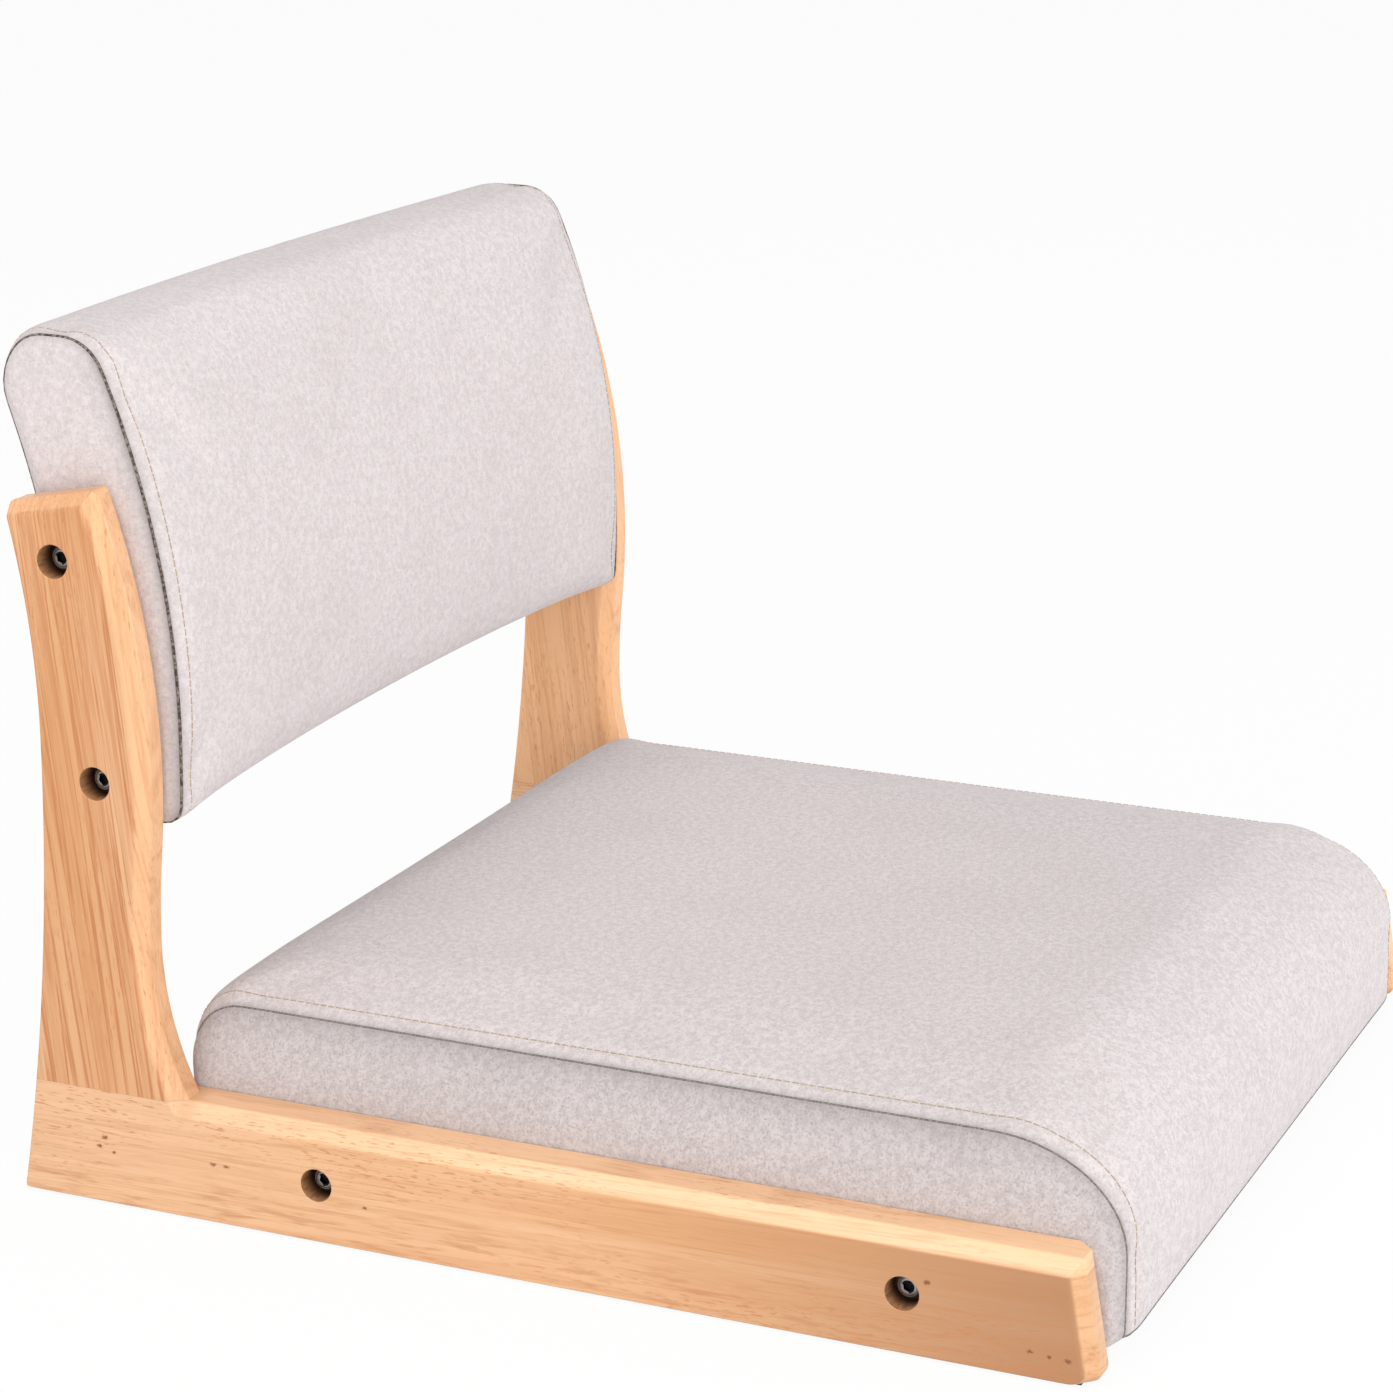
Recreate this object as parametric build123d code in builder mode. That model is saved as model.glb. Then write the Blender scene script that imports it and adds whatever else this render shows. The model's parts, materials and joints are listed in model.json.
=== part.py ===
"""Legless floor chair: two glued wooden side frames, an upholstered seat and a curved upholstered back.

Millimetres. The origin is on the floor under the middle of the chair, +Z is up, the front is -Y and the
sitter's right is -X. A place on the side of the chair is a distance forward of the rear foot corner and a
height above the floor.
"""

from build123d import *
import os
from math import hypot, sqrt

# Whole chair
OVERALL_WIDTH = 515.0
ORIGIN_FORWARD = 248.8
SOFT_GAP = 0.3

# Rails: the bottom members of the side frames, with a raked front end
SIDE_THICKNESS = 23.0
RAIL_LENGTH = 520.0
RAIL_HEIGHT = 55.0
FRONT_RAKE = 9.5
TOE_ROUND = 5.0
EDGE_CHAMFER = 6.5

# Uprights: bowed members on the rear of the rails, heights above the rail top
WAIST_FORWARD = 20.0
WAIST_HEIGHT = 165.0
UPPER_BOW_RADIUS = 420.0
TOP_REAR_HEIGHT = 271.0
TOP_FRONT_FORWARD = 50.5
TOP_FRONT_HEIGHT = 279.5
BELLY_FORWARD = 73.0
BELLY_HEIGHT = 150.5
HOLLOW_FORWARD = 69.0
HOLLOW_HEIGHT = 70.5
FOOT_FORWARD = 86.0

# Loose tenon in the glued joint between rail and upright
TENON_THICKNESS = 10.0
TENON_WIDTH = 44.0
TENON_LENGTH = 50.0
TENON_FORWARD = 44.0
GLUE_GAP = 0.1

# Felt foot pads under the ends of the rails
PAD_THICKNESS = 1.5
PAD_WIDTH = 13.0
PAD_LENGTH = 40.0
PAD_END_MARGIN = 9.0

# Bolts, washers and threaded inserts, drawn with flat sides because they are small and many
FASTENER_SIDES = 12
BOLT_RADIUS = 3.0
BOLT_LENGTH = 25.0
HEAD_RADIUS = 5.25
HEAD_HEIGHT = 3.3
HEAD_TAPER = 26.0
SOCKET_ACROSS_FLATS = 4.0
SOCKET_DEPTH = 2.2
BOLT_HOLE_GAP = 0.4
COUNTERBORE_RADIUS = 7.7
COUNTERBORE_DEPTH = 12.0
WASHER_RADIUS = 6.2
WASHER_THICKNESS = 1.2
INSERT_RADIUS = 5.0
INSERT_LENGTH = 13.0
INSERT_GAP = 0.1
SEAT_BOLT_HEIGHT = 27.3
SEAT_BOLT_REAR = 154.0
SEAT_BOLT_SPACING = 279.0
BACK_BOLT_LOW_FORWARD = 47.4
BACK_BOLT_LOW_HEIGHT = 146.5
BACK_BOLT_HIGH_FORWARD = 30.8
BACK_BOLT_HIGH_HEIGHT = 246.5

# Seat pad: the seam runs along the top of each leaning side panel
COVER_THICKNESS = 1.2
COVER_TURN_IN = 22.0
SEAT_CLEARANCE = 6.5
SEAT_REAR = 76.0
SEAT_FRONT = 520.0
SEAT_SEAM_RISE = 37.0
SEAT_CROWN = 13.0
SEAT_SWELL = 2.5
SEAT_SIDE_LEAN = 12.0
SEAT_SIDE_TUCK = 5.0
SEAT_FRONT_ROUND = 46.0
SEAT_REAR_ROUND = 26.0
SEAT_TUCK_ROUND = 26.0
SEAT_FOOT_ROUND = 4.0

# Seat frame, deck and dust cover
DECK_DROP = 2.3
FRAME_WIDTH = 32.0
DECK_THICKNESS = 9.0
FRAME_END_PADDING = 8.0
DUST_COVER_THICKNESS = 0.8
DUST_COVER_MARGIN = 6.0

# Back pad: a bowed pad, hollow across its width
BACK_BOTTOM_HEIGHT = 123.0
BACK_HEIGHT = 220.0
BACK_THICKNESS = 56.5
BACK_HOLLOW = 11.0
BACK_FRONT_SWELL = 4.0
BACK_REAR_SWELL = 3.5
BACK_TOP_SWELL = 2.5
BACK_SIDE_LEAN = 3.0
BACK_SIDE_TUCK = 5.0
BACK_REAR_ROUND = 20.0
BACK_FRONT_ROUND = 22.0
BACK_FOOT_ROUND = 9.0

# Back core: a stile at each end and a curved plywood panel behind them
STILE_WIDTH = 30.0
STILE_DEPTH = 18.0
STILE_LENGTH = 186.0
STILE_BELOW_BOLT = 13.0
PANEL_THICKNESS = 5.0

# Crown of a pad across its width: stations between the seams, and how square its shoulders are
CROWN_STATIONS = (-1.0, -0.93, -0.76, 0.0, 0.76, 0.93, 1.0)
CROWN_POWER = 6

# Places that follow from the sizes above
RAIL_TOP = PAD_THICKNESS + RAIL_HEIGHT
SIDE_OUTER = OVERALL_WIDTH / 2
SIDE_INNER = SIDE_OUTER - SIDE_THICKNESS
SIDE_MIDDLE = SIDE_OUTER - SIDE_THICKNESS / 2
CUSHION_HALF_WIDTH = SIDE_INNER - SOFT_GAP
CORE_HALF_WIDTH = CUSHION_HALF_WIDTH - COVER_THICKNESS
FOAM_INSET = COVER_THICKNESS + SOFT_GAP
SEAT_BOTTOM = PAD_THICKNESS + SEAT_CLEARANCE
SEAT_SEAM = RAIL_TOP + SEAT_SEAM_RISE
FRAME_BOTTOM = SEAT_BOTTOM + COVER_THICKNESS
FRAME_REAR = SEAT_REAR + SEAT_SIDE_TUCK + COVER_THICKNESS + FRAME_END_PADDING
FRAME_FRONT = SEAT_FRONT - SEAT_SIDE_TUCK - COVER_THICKNESS - FRAME_END_PADDING
DECK_TOP = RAIL_TOP - DECK_DROP
DECK_BOTTOM = DECK_TOP - DECK_THICKNESS
FRAME_HEIGHT = DECK_BOTTOM - FRAME_BOTTOM
DECK_HALF_WIDTH = CORE_HALF_WIDTH - SEAT_SIDE_LEAN
PANEL_HALF_WIDTH = CORE_HALF_WIDTH - BACK_SIDE_LEAN - SOFT_GAP
BACK_BOTTOM = RAIL_TOP + BACK_BOTTOM_HEIGHT
BACK_TOP = BACK_BOTTOM + BACK_HEIGHT
SEAT_BOLTS = [
    (SEAT_BOLT_REAR, PAD_THICKNESS + SEAT_BOLT_HEIGHT),
    (SEAT_BOLT_REAR + SEAT_BOLT_SPACING, PAD_THICKNESS + SEAT_BOLT_HEIGHT),
]
BACK_BOLTS = [
    (BACK_BOLT_LOW_FORWARD, RAIL_TOP + BACK_BOLT_LOW_HEIGHT),
    (BACK_BOLT_HIGH_FORWARD, RAIL_TOP + BACK_BOLT_HIGH_HEIGHT),
]


def at(forward, height):
    """Point of a side view, from its distance forward of the rear foot corner and its height."""
    return (ORIGIN_FORWARD - forward, height)


def rear_edge(height):
    """Distance forward of the side frame's rear edge: two arcs, both upright where they meet at the waist."""
    rise = height - RAIL_TOP - WAIST_HEIGHT
    drop = RAIL_HEIGHT + WAIST_HEIGHT
    lower_radius = (WAIST_FORWARD**2 + drop**2) / (2 * WAIST_FORWARD)
    radius = UPPER_BOW_RADIUS if rise > 0 else lower_radius
    return WAIST_FORWARD - radius + sqrt(radius**2 - rise**2)


def bolt_plane(spot, reach):
    """Plane on a bolt's axis, facing out of the sitter's right, at a distance from the chair's middle."""
    forward, height = spot
    return Plane(origin=(-reach, *at(forward, height)), x_dir=(0, 1, 0), z_dir=(-1, 0, 0))


def save(builder, name):
    """Label a finished piece and write its file."""
    builder.part.label = name
    export_step(builder.part, f"parts/{name}.step")


def save_pair(builder, name):
    """Write a piece of the sitter's right side and its mirror image on the left."""
    save(builder, f"right_{name}")
    with BuildPart() as twin:
        mirror(builder.part, about=Plane.YZ)
    save(twin, f"left_{name}")


os.makedirs("parts", exist_ok=True)

# Side frame blank: one outline for rail and upright, chamfered after the joint is glued
with BuildPart() as side_blank:
    with BuildSketch(Plane.YZ.offset(-SIDE_OUTER)):
        with BuildLine():
            heel = at(0, PAD_THICKNESS)
            waist = at(WAIST_FORWARD, RAIL_TOP + WAIST_HEIGHT)
            top_rear_height = RAIL_TOP + TOP_REAR_HEIGHT
            top_rear = at(rear_edge(top_rear_height), top_rear_height)
            top_front = at(TOP_FRONT_FORWARD, RAIL_TOP + TOP_FRONT_HEIGHT)
            belly = at(BELLY_FORWARD, RAIL_TOP + BELLY_HEIGHT)
            hollow = at(HOLLOW_FORWARD, RAIL_TOP + HOLLOW_HEIGHT)
            turn = ((belly[0] + hollow[0]) / 2, (belly[1] + hollow[1]) / 2)
            foot = at(FOOT_FORWARD, RAIL_TOP)
            toe_top = at(RAIL_LENGTH - FRONT_RAKE, RAIL_TOP)
            toe = at(RAIL_LENGTH, PAD_THICKNESS)
            TangentArc(waist, heel, tangent=(0, -1))
            TangentArc(waist, top_rear, tangent=(0, 1))
            Line(top_rear, top_front)
            TangentArc(belly, top_front, tangent=(0, 1))
            TangentArc(belly, turn, tangent=(0, -1))
            TangentArc(hollow, turn, tangent=(0, 1))
            TangentArc(hollow, foot, tangent=(0, -1))
            Polyline(foot, toe_top, toe, heel)
        make_face()
    extrude(amount=SIDE_THICKNESS)
    faces_across = side_blank.faces().filter_by(Axis.X).sort_by(Axis.X)
    shown_edges = faces_across[0].edges().sort_by(Axis.Y)[:-2].sort_by(Axis.Z)[1:]
    inner_edges = faces_across[-1].edges().sort_by(Axis.Y)[:-2].sort_by(Axis.Z)[1:]
    inner_edges = inner_edges.filter_by(Axis.Y, reverse=True)
    chamfer(shown_edges + inner_edges, length=EDGE_CHAMFER)
    sole = side_blank.faces().filter_by(Plane.XY).sort_by(Axis.Z)[0]
    fillet(sole.edges().sort_by(Axis.Y)[:3], radius=TOE_ROUND)
    with Locations(*[bolt_plane(spot, SIDE_OUTER) for spot in SEAT_BOLTS + BACK_BOLTS]):
        CounterBoreHole(BOLT_RADIUS + BOLT_HOLE_GAP, COUNTERBORE_RADIUS, COUNTERBORE_DEPTH)
    tenon_place = (-SIDE_MIDDLE, *at(TENON_FORWARD, RAIL_TOP))
    with Locations(tenon_place):
        Box(
            TENON_THICKNESS + 2 * GLUE_GAP,
            TENON_WIDTH + 2 * GLUE_GAP,
            TENON_LENGTH + 2 * GLUE_GAP,
            mode=Mode.SUBTRACT,
        )

with BuildPart() as rail:
    add(side_blank.part)
    split(bisect_by=Plane.XY.offset(RAIL_TOP), keep=Keep.BOTTOM)
save_pair(rail, "rail")

with BuildPart() as upright:
    add(side_blank.part)
    split(bisect_by=Plane.XY.offset(RAIL_TOP), keep=Keep.TOP)
save_pair(upright, "upright")

with BuildPart() as joint_tenon:
    with Locations(tenon_place):
        Box(TENON_THICKNESS, TENON_WIDTH, TENON_LENGTH)
save_pair(joint_tenon, "joint_tenon")

with BuildPart() as foot_pads:
    pad_inset = PAD_END_MARGIN + PAD_LENGTH / 2
    with BuildSketch():
        for forward in (pad_inset, RAIL_LENGTH - pad_inset):
            with Locations((-SIDE_MIDDLE, ORIGIN_FORWARD - forward)):
                Rectangle(PAD_WIDTH, PAD_LENGTH)
    extrude(amount=PAD_THICKNESS)
save_pair(foot_pads, "foot_pads")

# Fasteners: one bolt, washer and insert, drawn at the origin and set at each hole
with BuildPart() as bolt:
    with BuildSketch():
        RegularPolygon(BOLT_RADIUS, FASTENER_SIDES)
    extrude(amount=-BOLT_LENGTH)
    with BuildSketch():
        RegularPolygon(HEAD_RADIUS, FASTENER_SIDES)
    extrude(amount=HEAD_HEIGHT, taper=HEAD_TAPER)
    with BuildSketch(Plane.XY.offset(HEAD_HEIGHT)):
        RegularPolygon(SOCKET_ACROSS_FLATS / 2, 6, major_radius=False)
    extrude(amount=-SOCKET_DEPTH, mode=Mode.SUBTRACT)

with BuildPart() as washer:
    with BuildSketch():
        RegularPolygon(WASHER_RADIUS, FASTENER_SIDES)
        RegularPolygon(BOLT_RADIUS + BOLT_HOLE_GAP, FASTENER_SIDES, mode=Mode.SUBTRACT)
    extrude(amount=WASHER_THICKNESS)

with BuildPart() as insert:
    with BuildSketch():
        RegularPolygon(INSERT_RADIUS, FASTENER_SIDES)
        RegularPolygon(BOLT_RADIUS + INSERT_GAP, FASTENER_SIDES, mode=Mode.SUBTRACT)
    extrude(amount=-INSERT_LENGTH)

with BuildPart() as insert_hole:
    with BuildSketch():
        RegularPolygon(INSERT_RADIUS + INSERT_GAP, FASTENER_SIDES)
    extrude(amount=-INSERT_LENGTH - INSERT_GAP)

WASHER_SEAT = SIDE_OUTER - COUNTERBORE_DEPTH
HEAD_SEAT = WASHER_SEAT + WASHER_THICKNESS
for place, spots in (("seat", SEAT_BOLTS), ("back", BACK_BOLTS)):
    for kind, pattern, reach in (
        ("bolts", bolt, HEAD_SEAT),
        ("washers", washer, WASHER_SEAT),
        ("inserts", insert, CORE_HALF_WIDTH),
    ):
        with BuildPart() as group:
            with Locations(*[bolt_plane(spot, reach) for spot in spots]):
                add(pattern.part)
        save_pair(group, f"{place}_{kind}")


def top_corners(outline):
    """The two ends of an outline's straight top, front one first."""
    return outline.vertices().sort_by(Axis.Y)[-2:].sort_by(Axis.X)


def seat_outline(across, rear, front, top, bottom, rounds):
    """Side view of the seat pad at one place across it: flat underside, waterfall front, rounded rear."""
    front_round, rear_round = rounds
    with BuildSketch(Plane.YZ.offset(across)) as outline:
        with BuildLine():
            Polyline(at(rear, bottom), at(rear, top), at(front, top), at(front, bottom), close=True)
        make_face()
        fillet(top_corners(outline)[0], radius=front_round)
        fillet(top_corners(outline)[-1], radius=rear_round)
        fillet(outline.vertices().sort_by(Axis.Y)[:2], radius=SEAT_FOOT_ROUND)
    return outline.sketch


def seat_form(inset):
    """Closed form of the seat pad, drawn a little inside the outer face of its cover."""
    half = CUSHION_HALF_WIDTH - inset
    seam = half - SEAT_SIDE_LEAN
    bottom = SEAT_BOTTOM + inset
    crown_rounds = (SEAT_FRONT_ROUND - inset, SEAT_REAR_ROUND - inset)
    tuck_rounds = (SEAT_TUCK_ROUND - inset, SEAT_TUCK_ROUND - inset)
    tuck = SEAT_SIDE_TUCK + inset
    tucked_side = (SEAT_REAR + tuck, SEAT_FRONT - tuck, RAIL_TOP - inset, bottom, tuck_rounds)
    sections = [seat_outline(-half, *tucked_side)]
    for station in CROWN_STATIONS:
        rise = 1 - abs(station) ** CROWN_POWER
        rear = SEAT_REAR - SEAT_SWELL * rise + inset
        front = SEAT_FRONT + SEAT_SWELL * rise - inset
        top = SEAT_SEAM + SEAT_CROWN * rise - inset
        sections.append(seat_outline(station * seam, rear, front, top, bottom, crown_rounds))
    sections.append(seat_outline(half, *tucked_side))
    with BuildPart() as form:
        loft(sections, ruled=True)
    return form.part


def back_outline(across, shift, rise, inset, tuck):
    """Side view of the back pad at one place across it: parallel to the uprights' rear edge, rounded top."""
    bottom = BACK_BOTTOM + inset + tuck
    top = BACK_TOP + BACK_TOP_SWELL * rise - inset - tuck
    heights = (bottom, (bottom + top) / 2, top)
    rear_reach = shift - BACK_REAR_SWELL * rise + inset + tuck
    front_reach = shift + BACK_THICKNESS + BACK_FRONT_SWELL * rise - inset - tuck
    rear = [at(rear_edge(height) + rear_reach, height) for height in heights]
    front = [at(rear_edge(height) + front_reach, height) for height in heights]
    with BuildSketch(Plane.YZ.offset(across)) as outline:
        with BuildLine():
            ThreePointArc(*rear)
            Line(rear[2], front[2])
            ThreePointArc(*reversed(front))
            Line(front[0], rear[0])
        make_face()
        fillet(top_corners(outline)[0], radius=BACK_FRONT_ROUND - inset)
        fillet(top_corners(outline)[-1], radius=BACK_REAR_ROUND - inset)
        fillet(outline.vertices().sort_by(Axis.Y)[:2], radius=BACK_FOOT_ROUND - inset)
    return outline.sketch


def back_form(inset):
    """Closed form of the back pad, drawn a little inside the outer face of its cover."""
    half = CUSHION_HALF_WIDTH - inset
    seam = half - BACK_SIDE_LEAN
    sections = [back_outline(-half, 0, 0, inset, BACK_SIDE_TUCK)]
    for station in CROWN_STATIONS:
        rise = 1 - abs(station) ** CROWN_POWER
        shift = -BACK_HOLLOW * (1 - station**2)
        sections.append(back_outline(station * seam, shift, rise, inset, 0))
    sections.append(back_outline(half, 0, 0, inset, BACK_SIDE_TUCK))
    with BuildPart() as form:
        loft(sections, ruled=True)
    return form.part


def save_cover(name, outer, inner, seam, spots, opening):
    """Write a pad's cover as the middle panel and the two side panels that are sewn to it."""
    with BuildPart() as cover:
        add(outer)
        add(inner, mode=Mode.SUBTRACT)
        if opening is not None:
            add(opening, mode=Mode.SUBTRACT)
        slit = 2 * (BOLT_RADIUS + BOLT_HOLE_GAP)
        for forward, height in spots:
            with Locations((0, *at(forward, height))):
                Box(2 * (CUSHION_HALF_WIDTH + SOFT_GAP), slit, slit, mode=Mode.SUBTRACT)
    with BuildPart() as middle_panel:
        add(cover.part)
        split(bisect_by=Plane.YZ.offset(seam), keep=Keep.BOTTOM)
        split(bisect_by=Plane.YZ.offset(-seam), keep=Keep.TOP)
    save(middle_panel, f"{name}_middle_panel")
    with BuildPart() as side_panel:
        add(cover.part)
        split(bisect_by=Plane.YZ.offset(-seam), keep=Keep.BOTTOM)
    save_pair(side_panel, f"{name}_side_panel")


# Seat frame: side members carry the inserts, front and rear members close the frame under the deck
frame_depth = FRAME_FRONT - FRAME_REAR
frame_middle = ORIGIN_FORWARD - (FRAME_FRONT + FRAME_REAR) / 2
with BuildPart() as seat_side_member:
    with BuildSketch(Plane.XY.offset(FRAME_BOTTOM)):
        with Locations((-CORE_HALF_WIDTH + FRAME_WIDTH / 2, frame_middle)):
            Rectangle(FRAME_WIDTH, frame_depth)
    extrude(amount=FRAME_HEIGHT)
    with Locations(*[bolt_plane(spot, CORE_HALF_WIDTH) for spot in SEAT_BOLTS]):
        add(insert_hole.part, mode=Mode.SUBTRACT)
save_pair(seat_side_member, "seat_member")

for name, forward in (("front", FRAME_FRONT - FRAME_WIDTH / 2), ("rear", FRAME_REAR + FRAME_WIDTH / 2)):
    with BuildPart() as seat_cross_member:
        with BuildSketch(Plane.XY.offset(FRAME_BOTTOM)):
            with Locations((0, ORIGIN_FORWARD - forward)):
                Rectangle(2 * (CORE_HALF_WIDTH - FRAME_WIDTH), FRAME_WIDTH)
        extrude(amount=FRAME_HEIGHT)
    save(seat_cross_member, f"seat_{name}_member")

with BuildPart() as seat_deck:
    with BuildSketch(Plane.XY.offset(DECK_BOTTOM)):
        with Locations((0, frame_middle)):
            Rectangle(2 * DECK_HALF_WIDTH, frame_depth)
    extrude(amount=DECK_THICKNESS)
save(seat_deck, "seat_deck")

with BuildPart() as seat_foam:
    add(seat_form(FOAM_INSET))
    for half_width, top in ((CUSHION_HALF_WIDTH, DECK_BOTTOM), (DECK_HALF_WIDTH, DECK_TOP)):
        with BuildSketch():
            with Locations((0, frame_middle)):
                Rectangle(2 * (half_width + SOFT_GAP), frame_depth + 2 * SOFT_GAP)
        extrude(amount=top + SOFT_GAP, mode=Mode.SUBTRACT)
save(seat_foam, "seat_foam")

seat_middle = ORIGIN_FORWARD - (SEAT_FRONT + SEAT_REAR) / 2
seat_width = 2 * CUSHION_HALF_WIDTH
seat_depth = SEAT_FRONT - SEAT_REAR
with BuildPart() as seat_opening:
    with BuildSketch():
        with Locations((0, seat_middle)):
            Rectangle(seat_width - 2 * COVER_TURN_IN, seat_depth - 2 * COVER_TURN_IN)
    extrude(amount=FRAME_BOTTOM)
save_cover(
    "seat",
    seat_form(0),
    seat_form(COVER_THICKNESS),
    CUSHION_HALF_WIDTH - SEAT_SIDE_LEAN,
    SEAT_BOLTS,
    seat_opening.part,
)

with BuildPart() as seat_dust_cover:
    with BuildSketch(Plane.XY.offset(SEAT_BOTTOM)):
        with Locations((0, seat_middle)):
            Rectangle(seat_width - 2 * DUST_COVER_MARGIN, seat_depth - 2 * DUST_COVER_MARGIN)
    extrude(amount=-DUST_COVER_THICKNESS)
save(seat_dust_cover, "seat_dust_cover")

# Back core: the stiles lean with the line through the upper and lower bolts
low_bolt = at(*BACK_BOLTS[0])
high_bolt = at(*BACK_BOLTS[1])
bolt_distance = hypot(high_bolt[0] - low_bolt[0], high_bolt[1] - low_bolt[1])
lean = (0, (high_bolt[0] - low_bolt[0]) / bolt_distance, (high_bolt[1] - low_bolt[1]) / bolt_distance)
core_plane = Plane(origin=(0, *low_bolt), x_dir=(1, 0, 0), z_dir=lean).offset(-STILE_BELOW_BOLT)


def panel_arc(setback):
    """Plan curve of the back panel at a distance behind the bolts, hollow towards the sitter."""
    middle = (0, setback + BACK_HOLLOW)
    return ThreePointArc((-PANEL_HALF_WIDTH, setback), middle, (PANEL_HALF_WIDTH, setback))


def curved_board(thickness, length, ends):
    """Curved board behind the stiles, grown by `ends` on every side for its space in the foam."""
    with BuildPart() as board:
        with BuildSketch(core_plane.offset(-ends)):
            with BuildLine():
                front_arc = panel_arc(STILE_DEPTH / 2 - ends)
                rear_arc = panel_arc(STILE_DEPTH / 2 + thickness + ends)
                Line(front_arc @ 0, rear_arc @ 0)
                Line(front_arc @ 1, rear_arc @ 1)
            make_face()
        extrude(amount=length + 2 * ends)
    return board.part


with BuildPart() as back_panel:
    add(curved_board(PANEL_THICKNESS, STILE_LENGTH, 0))
save(back_panel, "back_panel")

with BuildPart() as back_stile:
    with BuildSketch(core_plane):
        with Locations((-CORE_HALF_WIDTH, -STILE_DEPTH / 2)):
            Rectangle(STILE_WIDTH, STILE_DEPTH, align=Align.MIN)
    extrude(amount=STILE_LENGTH)
    with Locations(*[bolt_plane(spot, CORE_HALF_WIDTH) for spot in BACK_BOLTS]):
        add(insert_hole.part, mode=Mode.SUBTRACT)
save_pair(back_stile, "back_stile")

with BuildPart() as back_foam:
    add(back_form(FOAM_INSET))
    add(curved_board(PANEL_THICKNESS, STILE_LENGTH, SOFT_GAP), mode=Mode.SUBTRACT)
    with BuildSketch(core_plane.offset(-SOFT_GAP)):
        for side in (-1, 1):
            with Locations((side * CUSHION_HALF_WIDTH, -STILE_DEPTH / 2 - SOFT_GAP)):
                Rectangle(
                    2 * (STILE_WIDTH + FOAM_INSET),
                    STILE_DEPTH + PANEL_THICKNESS,
                    align=(Align.CENTER, Align.MIN),
                )
    extrude(amount=STILE_LENGTH + 2 * SOFT_GAP, mode=Mode.SUBTRACT)
save(back_foam, "back_foam")

save_cover(
    "back",
    back_form(0),
    back_form(COVER_THICKNESS),
    CUSHION_HALF_WIDTH - BACK_SIDE_LEAN,
    BACK_BOLTS,
    None,
)
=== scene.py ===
"""Dress of the legless floor chair: two glued wood side frames, two suede pads and their sunk bolts.

Metres, in the frame of the CAD part: the origin is on the floor under the middle of the chair, +Z is up, the
front is -Y and the sitter's right is -X. A place in side view is (forward of the rear foot corner, height).
"""

import json
import logging
import math
from dataclasses import dataclass, field, replace
from enum import Enum
from typing import Any, Callable

import bmesh
import bpy
from mathutils import Matrix, Vector
from mathutils.kdtree import KDTree

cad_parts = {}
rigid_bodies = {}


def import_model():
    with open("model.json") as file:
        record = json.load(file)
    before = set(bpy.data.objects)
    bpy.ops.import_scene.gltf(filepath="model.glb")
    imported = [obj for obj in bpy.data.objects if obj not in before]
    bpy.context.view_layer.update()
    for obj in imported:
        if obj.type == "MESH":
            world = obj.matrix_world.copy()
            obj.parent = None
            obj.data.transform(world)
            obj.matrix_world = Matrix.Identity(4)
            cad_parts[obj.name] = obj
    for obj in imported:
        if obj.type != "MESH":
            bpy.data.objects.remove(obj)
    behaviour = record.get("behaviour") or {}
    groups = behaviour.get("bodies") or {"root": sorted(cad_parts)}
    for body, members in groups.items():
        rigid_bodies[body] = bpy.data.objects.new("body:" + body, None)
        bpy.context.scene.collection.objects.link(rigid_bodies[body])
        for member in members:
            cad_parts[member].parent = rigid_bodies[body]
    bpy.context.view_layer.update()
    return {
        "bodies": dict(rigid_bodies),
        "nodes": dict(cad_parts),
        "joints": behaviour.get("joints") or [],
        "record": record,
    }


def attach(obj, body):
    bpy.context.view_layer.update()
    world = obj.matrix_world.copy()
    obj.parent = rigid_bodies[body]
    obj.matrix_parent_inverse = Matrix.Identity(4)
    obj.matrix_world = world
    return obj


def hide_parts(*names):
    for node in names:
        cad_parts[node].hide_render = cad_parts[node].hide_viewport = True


LOG = logging.getLogger("floor_chair")

MM = 0.001
WELD = 0.01 * MM
ORIGIN_FORWARD = 248.8 * MM
RAIL_TOP = 56.5 * MM
WAIST_FORWARD = 20.0 * MM
WAIST_HEIGHT = 221.5 * MM
UPPER_BOW_RADIUS = 420.0 * MM
LOWER_BOW_RADIUS = 1220.0 * MM

Colour = tuple[float, float, float, float]
Place = tuple[float, float]

NAP_TONES: tuple[Colour, ...] = (
    (0.690, 0.632, 0.630, 1.0),
    (0.580, 0.523, 0.521, 1.0),
    (0.400, 0.345, 0.342, 1.0),
)
SEAT_BOLTS: tuple[Place, ...] = ((154.0 * MM, 28.8 * MM), (433.0 * MM, 28.8 * MM))
BACK_BOLTS: tuple[Place, ...] = ((47.4 * MM, 203.0 * MM), (30.8 * MM, 303.0 * MM))
RAIL_PINS: tuple[Place, ...] = (
    (44.6 * MM, 33.6 * MM),
    (41.5 * MM, 28.9 * MM),
    (49.3 * MM, 27.1 * MM),
    (101.3 * MM, 29.9 * MM),
    (108.3 * MM, 30.1 * MM),
    (178.7 * MM, 22.2 * MM),
    (444.1 * MM, 36.0 * MM),
    (489.9 * MM, 13.5 * MM),
    (498.6 * MM, 12.4 * MM),
    (506.4 * MM, 12.2 * MM),
)
CLOTH_SETTINGS: dict[str, Any] = {
    "quality": 5,
    "mass": 0.3,
    "tension_stiffness": 30.0,
    "compression_stiffness": 30.0,
    "shear_stiffness": 12.0,
    "bending_stiffness": 1.5,
    "use_pressure": True,
    "uniform_pressure_force": 4.0,
}


class Side(Enum):
    """The two sides of the chair: the prefix of its nodes and the sign of X."""

    RIGHT = ("right", -1.0)
    LEFT = ("left", 1.0)

    @property
    def prefix(self) -> str:
        """The word that its nodes start with."""
        return self.value[0]

    @property
    def sign(self) -> float:
        """The sign of X on this side."""
        return self.value[1]


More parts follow.
